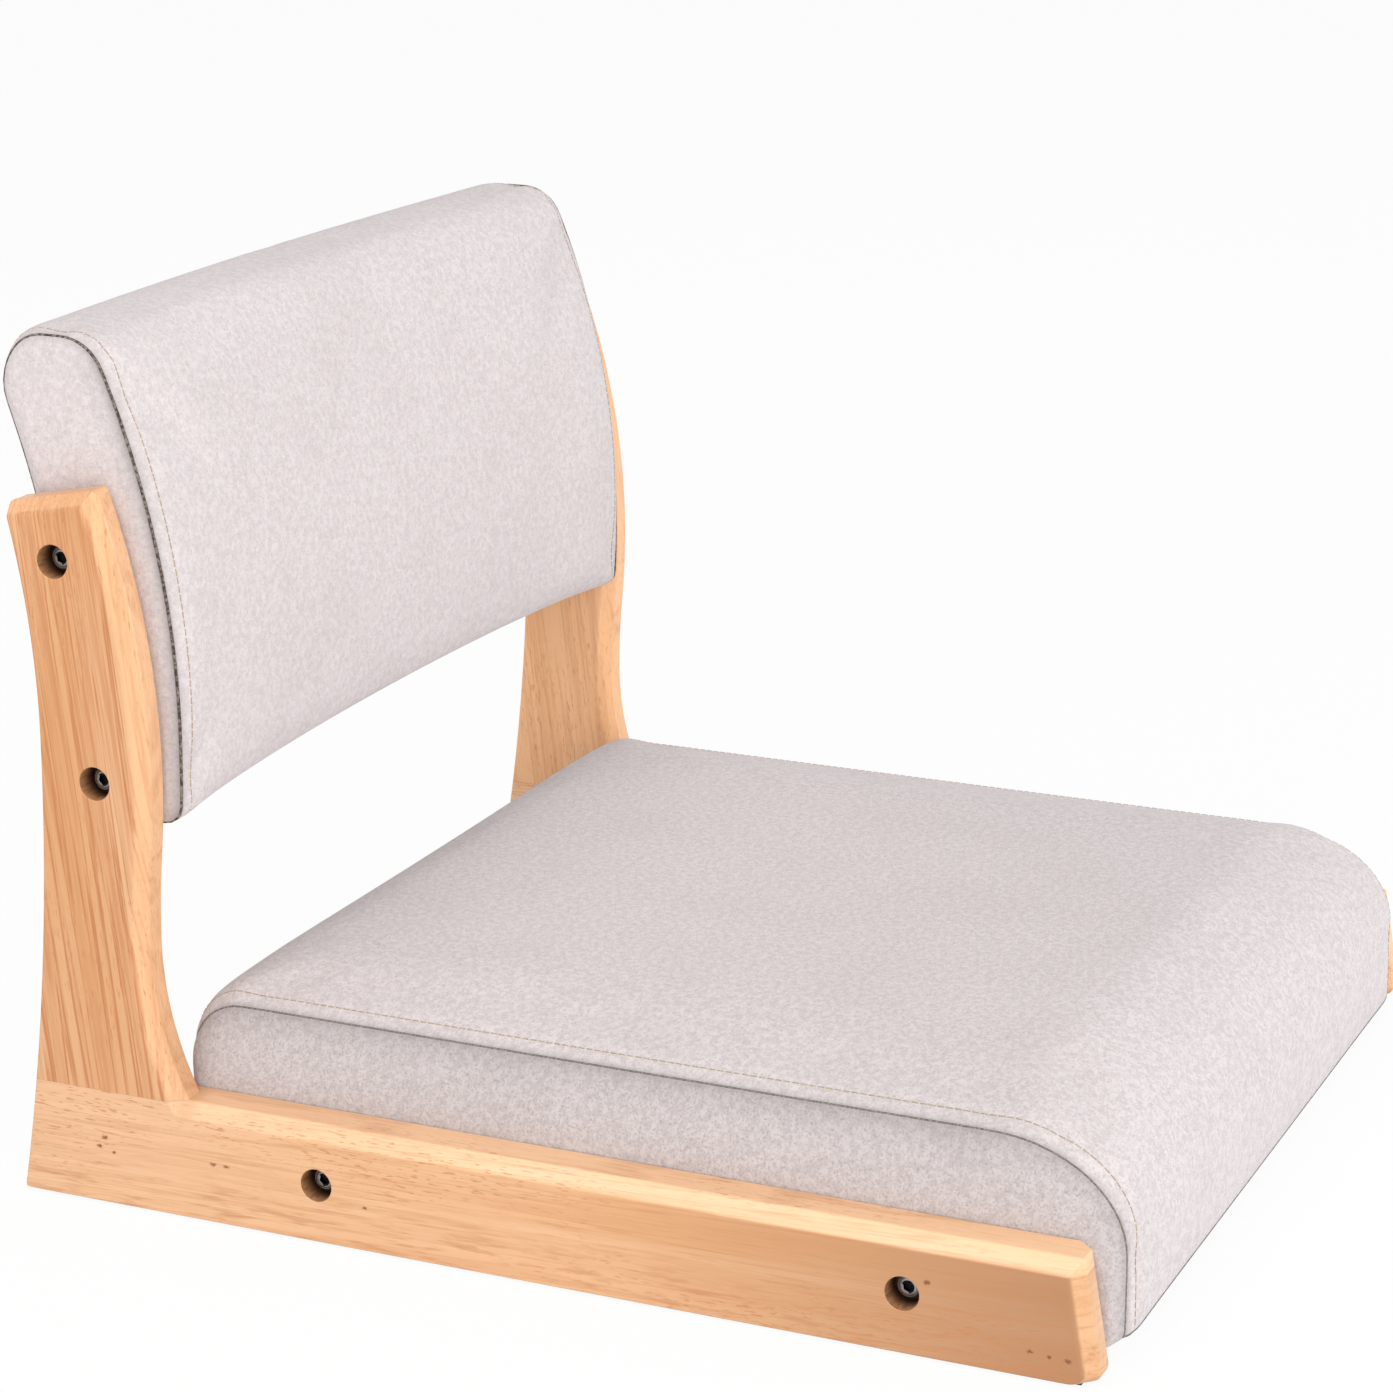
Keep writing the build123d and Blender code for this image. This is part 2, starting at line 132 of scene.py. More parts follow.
class Grain(Enum):
    """Which way the fibres run in a piece of wood."""

    LEVEL = "along the rail"
    STANDING = "up the upright"


def toned(colour: Colour, factor: float) -> Colour:
    """A colour made lighter or darker by a factor."""
    return (colour[0] * factor, colour[1] * factor, colour[2] * factor, 1.0)


def deselect_all() -> None:
    """Leaves nothing selected, in object mode."""
    if bpy.context.object and bpy.context.object.mode != "OBJECT":
        bpy.ops.object.mode_set(mode="OBJECT")
    bpy.ops.object.select_all(action="DESELECT")


def activate(piece: bpy.types.Object) -> None:
    """Makes one piece the only selected one, and active.

    Args:
        piece: the piece to work on.
    """
    deselect_all()
    piece.select_set(True)
    bpy.context.view_layer.objects.active = piece


def apply_modifiers(piece: bpy.types.Object) -> None:
    """Applies every modifier on a piece, in order.

    Args:
        piece: the piece that has the modifiers.
    """
    activate(piece)
    for name in [modifier.name for modifier in piece.modifiers]:
        bpy.ops.object.modifier_apply(modifier=name)


def settle(piece: bpy.types.Object) -> None:
    """Moves a piece's place, turn and scale into its mesh."""
    activate(piece)
    bpy.ops.object.transform_apply(location=True, rotation=True, scale=True)


def pick_faces(piece: bpy.types.Object, chosen: Callable[[bpy.types.MeshPolygon], bool]) -> None:
    """Selects a mesh's faces by a test and leaves it in edit mode.

    Args:
        piece: the mesh's object.
        chosen: the test that a face has to pass.
    """
    activate(piece)
    bpy.ops.object.mode_set(mode="EDIT")
    bpy.ops.mesh.select_mode(type="FACE")
    bpy.ops.mesh.select_all(action="DESELECT")
    bpy.ops.object.mode_set(mode="OBJECT")
    for face in piece.data.polygons:
        face.select = chosen(face)
    bpy.ops.object.mode_set(mode="EDIT")


def cylinder(corners: int, radius: float, length: float, middle: float = 0.0) -> bpy.types.Object:
    """Adds a cylinder or prism along Z, with its middle at a height.

    Args:
        corners: how many corners it has all round.
        radius: its radius to a corner.
        length: its length along Z.
        middle: the height of its middle.

    Returns:
        The new object.
    """
    deselect_all()
    place = (0.0, 0.0, middle)
    bpy.ops.mesh.primitive_cylinder_add(vertices=corners, radius=radius, depth=length, location=place)
    return bpy.context.object


def cover(piece: bpy.types.Object, *materials: bpy.types.Material) -> None:
    """Gives a piece these materials in place of any that it has, in order.

    Args:
        piece: the piece to dress.
        materials: the materials in order.
    """
    piece.data.materials.clear()
    for material in materials:
        piece.data.materials.append(material)


def enlist(piece: bpy.types.Object, slot: str, *nodes: str) -> None:
    """Lets a piece ride on the chair's one body and stand for the nodes it replaces.

    Args:
        piece: the finished piece.
        slot: the material slot that it belongs to; not used.
        nodes: the CAD nodes that it replaces, if any.
    """
    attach(piece, "root")
    if nodes:
        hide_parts(*nodes)


def join(pieces: list[bpy.types.Object], name: str) -> bpy.types.Object:
    """Joins pieces into one object.

    Args:
        pieces: the objects to join.
        name: the name of the result.

    Returns:
        The joined object.
    """
    activate(pieces[0])
    for piece in pieces:
        piece.select_set(True)
    bpy.ops.object.join()
    pieces[0].name = name
    return pieces[0]


def rear_edge(height: float) -> float:
    """How far forward the uprights' bowed rear edge lies at a height."""
    radius = UPPER_BOW_RADIUS if height > WAIST_HEIGHT else LOWER_BOW_RADIUS
    return WAIST_FORWARD - radius + math.sqrt(radius**2 - (height - WAIST_HEIGHT) ** 2)


def in_space(across: float, place: Place) -> Vector:
    """The point in space of a side view place, so far across the chair."""
    return Vector((across, ORIGIN_FORWARD - place[0], place[1]))


def hypot_to(point: Vector, place: Place) -> float:
    """How far a point is from a side view place, seen from the side."""
    return math.hypot(ORIGIN_FORWARD - point.y - place[0], point.z - place[1])


@dataclass(frozen=True)
class Pattern:
    """A noise pattern: how fine it is, which of its values become 0 and 1, and how far it is drawn out."""

    scale: float
    low: float = 0.0
    high: float = 1.0
    detail: float = 2.0
    rough: float = 0.5
    along: float = 1.0
    thick: float = 1.0


WOOD_CLOUD = Pattern(30.0, 0.32, 0.70, detail=3.0, along=0.10)
WOOD_FIBRE = Pattern(1100.0, 0.46, 0.78, detail=3.0, rough=0.65, along=0.05)
WOOD_RINGS = Pattern(300.0, 0.47, 0.66, along=0.016, thick=0.10)
WOOD_PATCHES = Pattern(17.0, 0.36, 0.62, along=0.10)
WOOD_DASHES = Pattern(900.0, 0.40, 0.60, rough=0.6, along=0.03, thick=0.7)
WOOD_PORES = Pattern(1250.0, 0.615, 0.690, detail=1.0, along=0.13)
WOOD_PORE_SPREAD = Pattern(34.0, 0.42, 0.60, along=0.3)
WOOD_FLECKS = Pattern(330.0, 0.49, 0.66, detail=3.0, rough=0.62, along=0.10)
KNOT_WANDER = Pattern(700.0, detail=1.0)
BORE_TEAR = Pattern(900.0, 0.4, 0.7)
SUEDE_MOTTLE = Pattern(300.0, detail=4.0, rough=0.72)
SUEDE_NAP = Pattern(900.0, 0.48, 0.72, rough=0.6)
SUEDE_DRIFT = Pattern(16.0, 0.35, 0.75)
THREAD_PLY = Pattern(1300.0, 0.35, 0.68)
METAL_CLOUD = Pattern(420.0, 0.45, 0.72, detail=3.0, rough=0.6)
FLEECE_FIBRE = Pattern(800.0, 0.34, 0.70, detail=4.0, rough=0.7)
CORE_GRAIN = Pattern(240.0, 0.3, 0.72, detail=3.0)


class Bench:
    """One material's node tree, with short ways to add and link its nodes."""

    def __init__(self, name: str) -> None:
        """Starts a material with its Principled shader.

        Args:
            name: the material's name.
        """
        self.material = bpy.data.materials.new(name)
        self.material.use_nodes = True
        self.tree = self.material.node_tree
        self.shader = self.tree.nodes["Principled BSDF"]
        self.place = self.node("ShaderNodeTexCoord").outputs["Object"]

    def node(self, kind: str, inputs: dict[Any, Any] | None = None, **settings: Any) -> bpy.types.Node:
        """Adds a node.

        Args:
            kind: the node's type.
            inputs: constants or output sockets for its input sockets, by name or number.
            settings: the node's own options.

        Returns:
            The new node.
        """
        made = self.tree.nodes.new(kind)
        for key, value in settings.items():
            setattr(made, key, value)
        for key, value in (inputs or {}).items():
            self.feed(made.inputs[key], value)
        return made

    def feed(self, socket: bpy.types.NodeSocket, value: Any) -> None:
        """Links an output socket to an input socket, or sets its constant.

        Args:
            socket: the input socket.
            value: an output socket or a constant.
        """
        if isinstance(value, bpy.types.NodeSocket):
            self.tree.links.new(value, socket)
        else:
            socket.default_value = value

    def set(self, **values: Any) -> None:
        """Feeds the shader's sockets, named with low lines for spaces."""
        for key, value in values.items():
            self.feed(self.shader.inputs[key.replace("_", " ")], value)

    def turned(self, turn: Any, shift: Any) -> bpy.types.NodeSocket:
        """Object coordinates turned and shifted."""
        inputs = {"Vector": self.place, "Location": shift, "Rotation": turn}
        return self.node("ShaderNodeMapping", inputs).outputs[0]

    def drawn(self, where: Any, scale: Any) -> bpy.types.NodeSocket:
        """Coordinates scaled along each axis, which draws a pattern out along the small ones."""
        return self.node("ShaderNodeMapping", {"Vector": where, "Scale": scale}).outputs[0]

    def noise(self, where: Any, pattern: Pattern) -> bpy.types.NodeSocket:
        """A noise pattern's value at a place."""
        inputs = {"Scale": pattern.scale, "Detail": pattern.detail, "Roughness": pattern.rough}
        return self.node("ShaderNodeTexNoise", {"Vector": where, **inputs}).outputs[0]

    def amount(self, value: Any, pattern: Pattern, depth: Any = 1.0) -> bpy.types.NodeSocket:
        """A pattern's value as an amount from 0 to a depth."""
        share = self.between(value, pattern.low, pattern.high)
        return share if depth == 1.0 else self.times(share, depth)

    def math(
        self, operation: str, first: Any, second: Any = 0.0, clamp: bool = False
    ) -> bpy.types.NodeSocket:
        """Two values put together by one operation."""
        inputs = {0: first, 1: second}
        return self.node("ShaderNodeMath", inputs, operation=operation, use_clamp=clamp).outputs[0]

    def times(self, first: Any, *others: Any) -> bpy.types.NodeSocket:
        """Values multiplied in order.

        Args:
            first: the first value.
            others: the values that it is multiplied by.

        Returns:
            The product's output socket.
        """
        for other in others:
            first = self.math("MULTIPLY", first, other)
        return first

    def between(self, value: Any, low: float, high: float) -> bpy.types.NodeSocket:
        """A value stretched so that low becomes 0 and high becomes 1, smoothly and clamped."""
        inputs = {"Value": value, "From Min": low, "From Max": high}
        return self.node("ShaderNodeMapRange", inputs, interpolation_type="SMOOTHSTEP").outputs[0]

    def ranged(self, value: Any, low: float, high: float, least: float, most: float) -> bpy.types.NodeSocket:
        """A value stretched evenly so that low becomes the least and high the most."""
        inputs = {"Value": value, "From Min": low, "From Max": high, "To Min": least, "To Max": most}
        return self.node("ShaderNodeMapRange", inputs).outputs[0]

    def mix(self, amount: Any, first: Any, second: Any) -> bpy.types.NodeSocket:
        """Two colours mixed by an amount."""
        return self.node("ShaderNodeMix", {0: amount, 6: first, 7: second}, data_type="RGBA").outputs[2]

    def axis(self, name: str) -> bpy.types.NodeSocket:
        """One object coordinate."""
        return self.node("ShaderNodeSeparateXYZ", {0: self.place}).outputs[name]

    def bump(self, height: Any, strength: float, distance: float) -> None:
        """Gives the shader a bump from a height value."""
        inputs = {"Height": height, "Strength": strength, "Distance": distance}
        self.set(Normal=self.node("ShaderNodeBump", inputs).outputs[0])


@dataclass(frozen=True)
class WoodFinish:
    """Pale lacquered hardwood with rows of fine lines, short pores, red flecks and pin knots, painted light on
    its slopes and painted shade towards a rail's front.
    """

    name: str
    grain: Grain
    shift: tuple[float, float, float] = (0.0, 0.0, 0.0)
    lean: float = 0.0
    tone: float = 1.0
    line_scale: float = WOOD_RINGS.scale
    line_depth: float = 0.5
    rim_outer: float = 0.048
    rim_inner: float = 0.006
    band_depth: float = 0.55
    patch_least: float = 0.65
    dash_least: float = 0.4
    fibre_depth: float = 0.24
    pore_depth: float = 0.5
    fleck_depth: float = 0.0
    fleck_top: float = 34.0 * MM
    fleck_full: float = 10.2 * MM
    pins: tuple[Place, ...] = ()
    knot_depth: float = 0.85
    knot_radius: float = 0.95 * MM
    knot_step: float = 0.14 * MM
    knot_wander: float = 1.6 * MM
    knot_stretch: float = 0.65
    outer_face: float = 257.5 * MM
    face_edge: tuple[float, float] = (0.2 * MM, 1.8 * MM)
    inner_mute: float = 0.0
    # Painted light on slopes and off the outer face: how much, where it starts and how pale it gets.
    painted_light_depth: float = 0.0
    painted_light_height: float = 49.6 * MM
    painted_light_forward: float = 90.0 * MM
    painted_light_edge: float = 0.8 * MM
    painted_light_fade: float = 4.0 * MM
    painted_light_lift: float = 1.25
    painted_light_most: float = 0.95
    # Painted shade on the rail's outer face towards the front: how much, where it starts and where it is full.
    heart_depth: float = 0.0
    heart_start: float = 250.0 * MM
    heart_end: float = 560.0 * MM
    light: Colour = (0.745, 0.459, 0.266, 1.0)
    warm: Colour = (0.660, 0.355, 0.170, 1.0)
    line: Colour = (0.480, 0.185, 0.062, 1.0)
    fleck: Colour = (0.470, 0.200, 0.078, 1.0)
    knot: Colour = (0.200, 0.046, 0.012, 1.0)
    # The colour of the painted shade towards a rail's front.
    heart: Colour = (0.170, 0.050, 0.008, 1.0)

    def grained(self, bench: Bench, fibres: Any, pattern: Pattern) -> bpy.types.NodeSocket:
        """A pattern's value, drawn out along the fibres and through the thickness.

        Args:
            bench: the material's bench.
            fibres: coordinates that run along the fibres.
            pattern: the noise pattern.

        Returns:
            The value's output socket.
        """
        level = self.grain is Grain.LEVEL
        scale = (pattern.thick, pattern.along, 1.0) if level else (pattern.thick, 1.0, pattern.along)
        return bench.noise(bench.drawn(fibres, scale), pattern)

    def pin_knots(self, bench: Bench) -> Any:
        """Small dark knots at given places of the outer face, as an amount.

        Args:
            bench: the material's bench.

        Returns:
            The amount's output socket.
        """
        wander = bench.math("SUBTRACT", bench.noise(bench.place, KNOT_WANDER), 0.5)
        wander = bench.times(wander, self.knot_wander)
        flat = bench.drawn(bench.place, (0.0, self.knot_stretch, 1.0))
        total: Any = 0.0
        for index, place in enumerate(self.pins):
            centre = in_space(0.0, place)
            inputs = {0: flat, 1: (0.0, centre.y * self.knot_stretch, centre.z)}
            far = bench.node("ShaderNodeVectorMath", inputs, operation="DISTANCE").outputs["Value"]
            radius = self.knot_radius - self.knot_step * (index % 3)
            spot = bench.between(bench.math("ADD", far, wander), radius * 1.5, radius * 0.4)
            total = bench.math("MAXIMUM", total, spot)
        return bench.times(total, self.knot_depth)

    def red_flecks(self, bench: Bench, fibres: Any) -> bpy.types.NodeSocket:
        """Blotches of redder wood low on the piece, as an amount.

        Args:
            bench: the material's bench.
            fibres: coordinates that run along the fibres.

        Returns:
            The amount's output socket.
        """
        blotches = bench.amount(self.grained(bench, fibres, WOOD_FLECKS), WOOD_FLECKS)
        low = bench.between(bench.axis("Z"), self.fleck_top, self.fleck_full)
        return bench.times(blotches, low, self.fleck_depth)

    def off_face(self, bench: Bench) -> bpy.types.NodeSocket:
        """Whether a place is off the outer face, from 0 on it to 1 past its edge.

        Args:
            bench: the material's bench.

        Returns:
            The amount's output socket.
        """
        near, far = self.face_edge
        across = bench.math("ABSOLUTE", bench.axis("X"))
        return bench.between(across, self.outer_face - near, self.outer_face - far)

    def painted_light(self, bench: Bench) -> bpy.types.NodeSocket:
        """Painted light: the paler slope on a rail's top ahead of the joint or all round an upright, as an
        amount.

        Args:
            bench: the material's bench.

        Returns:
            The amount's output socket.
        """
        if self.grain is Grain.STANDING:
            return bench.times(self.off_face(bench), self.painted_light_depth)
        height, edge = self.painted_light_height, self.painted_light_edge
        above = bench.between(bench.axis("Z"), height - edge, height + edge)
        start = ORIGIN_FORWARD - self.painted_light_forward
        ahead = bench.between(bench.axis("Y"), start + self.painted_light_fade, start - self.painted_light_fade)
        return bench.times(above, ahead, self.painted_light_depth)

    def painted_front_shade(self, bench: Bench) -> bpy.types.NodeSocket:
        """Painted shade: darker towards the front of a rail's outer face, as an amount.

        Args:
            bench: the material's bench.

        Returns:
            The amount's output socket.
        """
        start, end = ORIGIN_FORWARD - self.heart_start, ORIGIN_FORWARD - self.heart_end
        ahead = bench.between(bench.axis("Y"), start, end)
        on_face = bench.math("SUBTRACT", 1.0, self.off_face(bench))
        return bench.times(ahead, on_face, self.heart_depth)

    def growth_lines(self, bench: Bench, fibres: Any) -> bpy.types.NodeSocket:
        """Growth lines along the fibres, each a dark rim on a soft band, broken into dashes, as an amount.

        Args:
            bench: the material's bench.
            fibres: coordinates that run along the fibres.

        Returns:
            The amount's output socket.
        """
        rings = self.grained(bench, fibres, replace(WOOD_RINGS, scale=self.line_scale))
        middle = bench.math("ABSOLUTE", bench.math("SUBTRACT", rings, 0.5))
        rim = bench.between(middle, self.rim_outer, self.rim_inner)
        band = bench.amount(rings, WOOD_RINGS, self.band_depth)
        patches = bench.amount(self.grained(bench, fibres, WOOD_PATCHES), WOOD_PATCHES)
        patches = bench.math("ADD", patches, self.patch_least, True)
        line = bench.times(bench.math("MAXIMUM", rim, band), patches)
        if self.inner_mute:
            faint = bench.times(self.off_face(bench), self.inner_mute)
            line = bench.times(line, bench.math("SUBTRACT", 1.0, faint))
        dashes = bench.amount(self.grained(bench, fibres, WOOD_DASHES), WOOD_DASHES)
        return bench.times(line, bench.math("ADD", dashes, self.dash_least, True), self.line_depth)

    def open_pores(self, bench: Bench, fibres: Any) -> bpy.types.NodeSocket:
        """Short open pores that gather in patches, from 0 to 1.

        Args:
            bench: the material's bench.
            fibres: coordinates that run along the fibres.

        Returns:
            The amount's output socket.
        """
        pores = bench.amount(self.grained(bench, fibres, WOOD_PORES), WOOD_PORES)
        spread = bench.amount(self.grained(bench, fibres, WOOD_PORE_SPREAD), WOOD_PORE_SPREAD)
        return bench.times(pores, spread)

    def material(self) -> bpy.types.Material:
        """Makes the wood material.

        Returns:
            The new material.
        """
        bench = Bench(self.name)
        fibres = bench.turned((self.lean, 0.0, 0.0), self.shift)
        cloud = self.grained(bench, fibres, WOOD_CLOUD)
        fibre = self.grained(bench, fibres, WOOD_FIBRE)
        pores = self.open_pores(bench, fibres)
        light, warm = toned(self.light, self.tone), toned(self.warm, self.tone)
        colour = bench.mix(bench.amount(cloud, WOOD_CLOUD), light, warm)
        # Painted shade: the rail's outer face darkens towards the front.
        if self.heart_depth:
            colour = bench.mix(self.painted_front_shade(bench), colour, self.heart)
        # Painted light: slopes and faces off the outer face are made paler, as if lit more.
        if self.painted_light_depth:
            lift = min(self.painted_light_lift * self.tone, self.painted_light_most / self.light[0])
            colour = bench.mix(self.painted_light(bench), colour, toned(self.light, lift))
        colour = bench.mix(self.growth_lines(bench, fibres), colour, self.line)
        colour = bench.mix(bench.amount(fibre, WOOD_FIBRE, self.fibre_depth), colour, self.line)
        colour = bench.mix(bench.times(pores, self.pore_depth), colour, self.line)
        if self.fleck_depth:
            colour = bench.mix(self.red_flecks(bench, fibres), colour, self.fleck)
        if self.pins:
            colour = bench.mix(self.pin_knots(bench), colour, self.knot)
        gloss = bench.ranged(fibre, low=0.2, high=0.8, least=0.38, most=0.52)
        bench.set(Base_Color=colour, Roughness=gloss, Specular_IOR_Level=0.3)
        bench.set(Coat_Weight=0.35, Coat_Roughness=0.24)
        height = bench.math("SUBTRACT", bench.times(fibre, 0.25), pores)
        bench.bump(height, strength=0.14, distance=0.6 * MM)
        return bench.material


@dataclass(frozen=True)
class BoreFinish:
    """Drilled wood in a bolt hole, with painted shade: wood coloured at the mouth and dark at the bottom."""

    name: str
    bottom: float = 246.5 * MM
    mouth: float = 257.4 * MM
    tear_depth: float = 0.4
    drawn: tuple[float, float, float] = (0.2, 1.0, 1.0)
    deep: Colour = (0.036, 0.013, 0.006, 1.0)
    shallow: Colour = (0.480, 0.240, 0.110, 1.0)

    def material(self) -> bpy.types.Material:
        """Makes the drilled wood material.

        Returns:
            The new material.
        """
        bench = Bench(self.name)
        out = bench.between(bench.math("ABSOLUTE", bench.axis("X")), self.bottom, self.mouth)
        tear = bench.noise(bench.drawn(bench.place, self.drawn), BORE_TEAR)
        # Painted shade: darker towards the bottom of the hole.
        colour = bench.mix(out, self.deep, self.shallow)
        colour = bench.mix(bench.amount(tear, BORE_TEAR, self.tear_depth), colour, self.deep)
        bench.set(Base_Color=colour, Roughness=0.75, Specular_IOR_Level=0.15)
        bench.bump(tear, strength=0.25, distance=0.5 * MM)
        return bench.material


@dataclass(frozen=True)
class SuedeFinish:
    """Pale warm grey suede cloth with a soft mottle and a short nap, with painted shade in the folds of its
    seams.
    """

    name: str
    light: Colour = NAP_TONES[0]
    middle: Colour = NAP_TONES[1]
    dark: Colour = NAP_TONES[2]
    painted_fold_shade: float = 0.6
    speckle: float = 1.1
    mottle_spread: float = 0.11
    nap_depth: float = 0.62
    drift_depth: float = 0.10
    fold_tone: float = 0.45

    def material(self) -> bpy.types.Material:
        """Makes the cloth material.

        Returns:
            The new material.
        """
        bench = Bench(self.name)
        mottle = bench.noise(bench.place, SUEDE_MOTTLE)
        nap = bench.noise(bench.place, SUEDE_NAP)
        drift = bench.noise(bench.place, SUEDE_DRIFT)
        # Painted shade: how deep in a seam's fold a place lies, marked on the mesh.
        fold = bench.node("ShaderNodeAttribute", attribute_name="fold").outputs["Fac"]
        spread = self.mottle_spread / self.speckle
        colour = bench.mix(bench.between(mottle, 0.5 - spread, 0.5 + spread), self.light, self.middle)
        colour = bench.mix(bench.amount(nap, SUEDE_NAP, self.nap_depth * self.speckle), colour, self.dark)
        colour = bench.mix(bench.amount(drift, SUEDE_DRIFT, self.drift_depth), colour, self.dark)
        # Painted shade in the seams' folds.
        colour = bench.mix(bench.times(fold, self.painted_fold_shade), colour, toned(self.dark, self.fold_tone))
        bench.set(Base_Color=colour, Roughness=0.94, Specular_IOR_Level=0.16)
        bench.set(Sheen_Weight=0.22, Sheen_Roughness=0.45)
        height = bench.math("ADD", bench.times(mottle, 0.7), nap)
        bench.bump(height, strength=0.22, distance=0.9 * MM)
        return bench.material


@dataclass(frozen=True)
class ThreadFinish:
    """Twisted sewing thread."""

    name: str
    colour: Colour
    shade: Colour
    ply_scale: float = THREAD_PLY.scale

    def material(self) -> bpy.types.Material:
        """Makes the thread material.

        Returns:
            The new material.
        """
        bench = Bench(self.name)
        ply = bench.noise(bench.place, replace(THREAD_PLY, scale=self.ply_scale))
        bench.set(Base_Color=bench.mix(bench.amount(ply, THREAD_PLY), self.colour, self.shade))
        bench.set(Roughness=0.75, Specular_IOR_Level=0.25)
        bench.bump(ply, strength=0.3, distance=0.4 * MM)
        return bench.material


@dataclass(frozen=True)
class MetalFinish:
    """Bare, plated or blackened metal with a faint worn cloud."""

    name: str
    colour: Colour
    worn: Colour
    rough: float
    smoother: float = 0.07
    rougher: float = 0.1

    def material(self) -> bpy.types.Material:
        """Makes the metal material.

        Returns:
            The new material.
        """
        bench = Bench(self.name)
        cloud = bench.noise(bench.place, METAL_CLOUD)
        colour = bench.mix(bench.amount(cloud, METAL_CLOUD), self.colour, self.worn)
        gloss = bench.ranged(cloud, 0.0, 1.0, self.rough - self.smoother, self.rough + self.rougher)
        bench.set(Base_Color=colour, Metallic=1.0, Roughness=gloss)
        bench.bump(cloud, strength=0.05, distance=0.3 * MM)
        return bench.material


@dataclass(frozen=True)
class FleeceFinish:
    """Bonded or pressed fibre: felt, and dust cover cloth with its embossed dots."""

    name: str
    colour: Colour
    shade: Colour
    fibre_scale: float = FLEECE_FIBRE.scale
    dot_scale: float = 0.0
    dot_middle: float = 0.12
    dot_edge: float = 0.34

    def material(self) -> bpy.types.Material:
        """Makes the fibre material.

        Returns:
            The new material.
        """
        bench = Bench(self.name)
        fibre = bench.noise(bench.place, replace(FLEECE_FIBRE, scale=self.fibre_scale))
        bench.set(Base_Color=bench.mix(bench.amount(fibre, FLEECE_FIBRE), self.colour, self.shade))
        bench.set(Roughness=0.95, Specular_IOR_Level=0.15)
        height = fibre
        if self.dot_scale:
            inputs = {"Vector": bench.place, "Scale": self.dot_scale, "Randomness": 0.0}
            dots = bench.node("ShaderNodeTexVoronoi", inputs).outputs[0]
            dots = bench.between(dots, self.dot_middle, self.dot_edge)
            height = bench.math("ADD", bench.times(fibre, 0.4), dots)
        bench.bump(height, strength=0.35, distance=0.6 * MM)
        return bench.material


@dataclass(frozen=True)
class PlyFinish:
    """Plain core wood or plywood: straight faint grain, with layers on the edges of plywood."""

    name: str
    colour: Colour
    shade: Colour
    layer_scale: float = 0.0
    layer_depth: float = 0.25
    drawn: tuple[float, float, float] = (0.06, 1.0, 1.0)

    def material(self) -> bpy.types.Material:
        """Makes the core wood material.

        Returns:
            The new material.
        """
        bench = Bench(self.name)
        grain = bench.noise(bench.drawn(bench.place, self.drawn), CORE_GRAIN)
        colour = bench.mix(bench.amount(grain, CORE_GRAIN), self.colour, self.shade)
        if self.layer_scale:
            inputs = {"Vector": bench.place, "Scale": self.layer_scale}
            bands = bench.node("ShaderNodeTexWave", inputs, bands_direction="Z").outputs[1]
            colour = bench.mix(bench.times(bands, self.layer_depth), colour, self.shade)
        bench.set(Base_Color=colour, Roughness=0.7, Specular_IOR_Level=0.25)
        bench.bump(grain, strength=0.12, distance=0.5 * MM)
        return bench.material


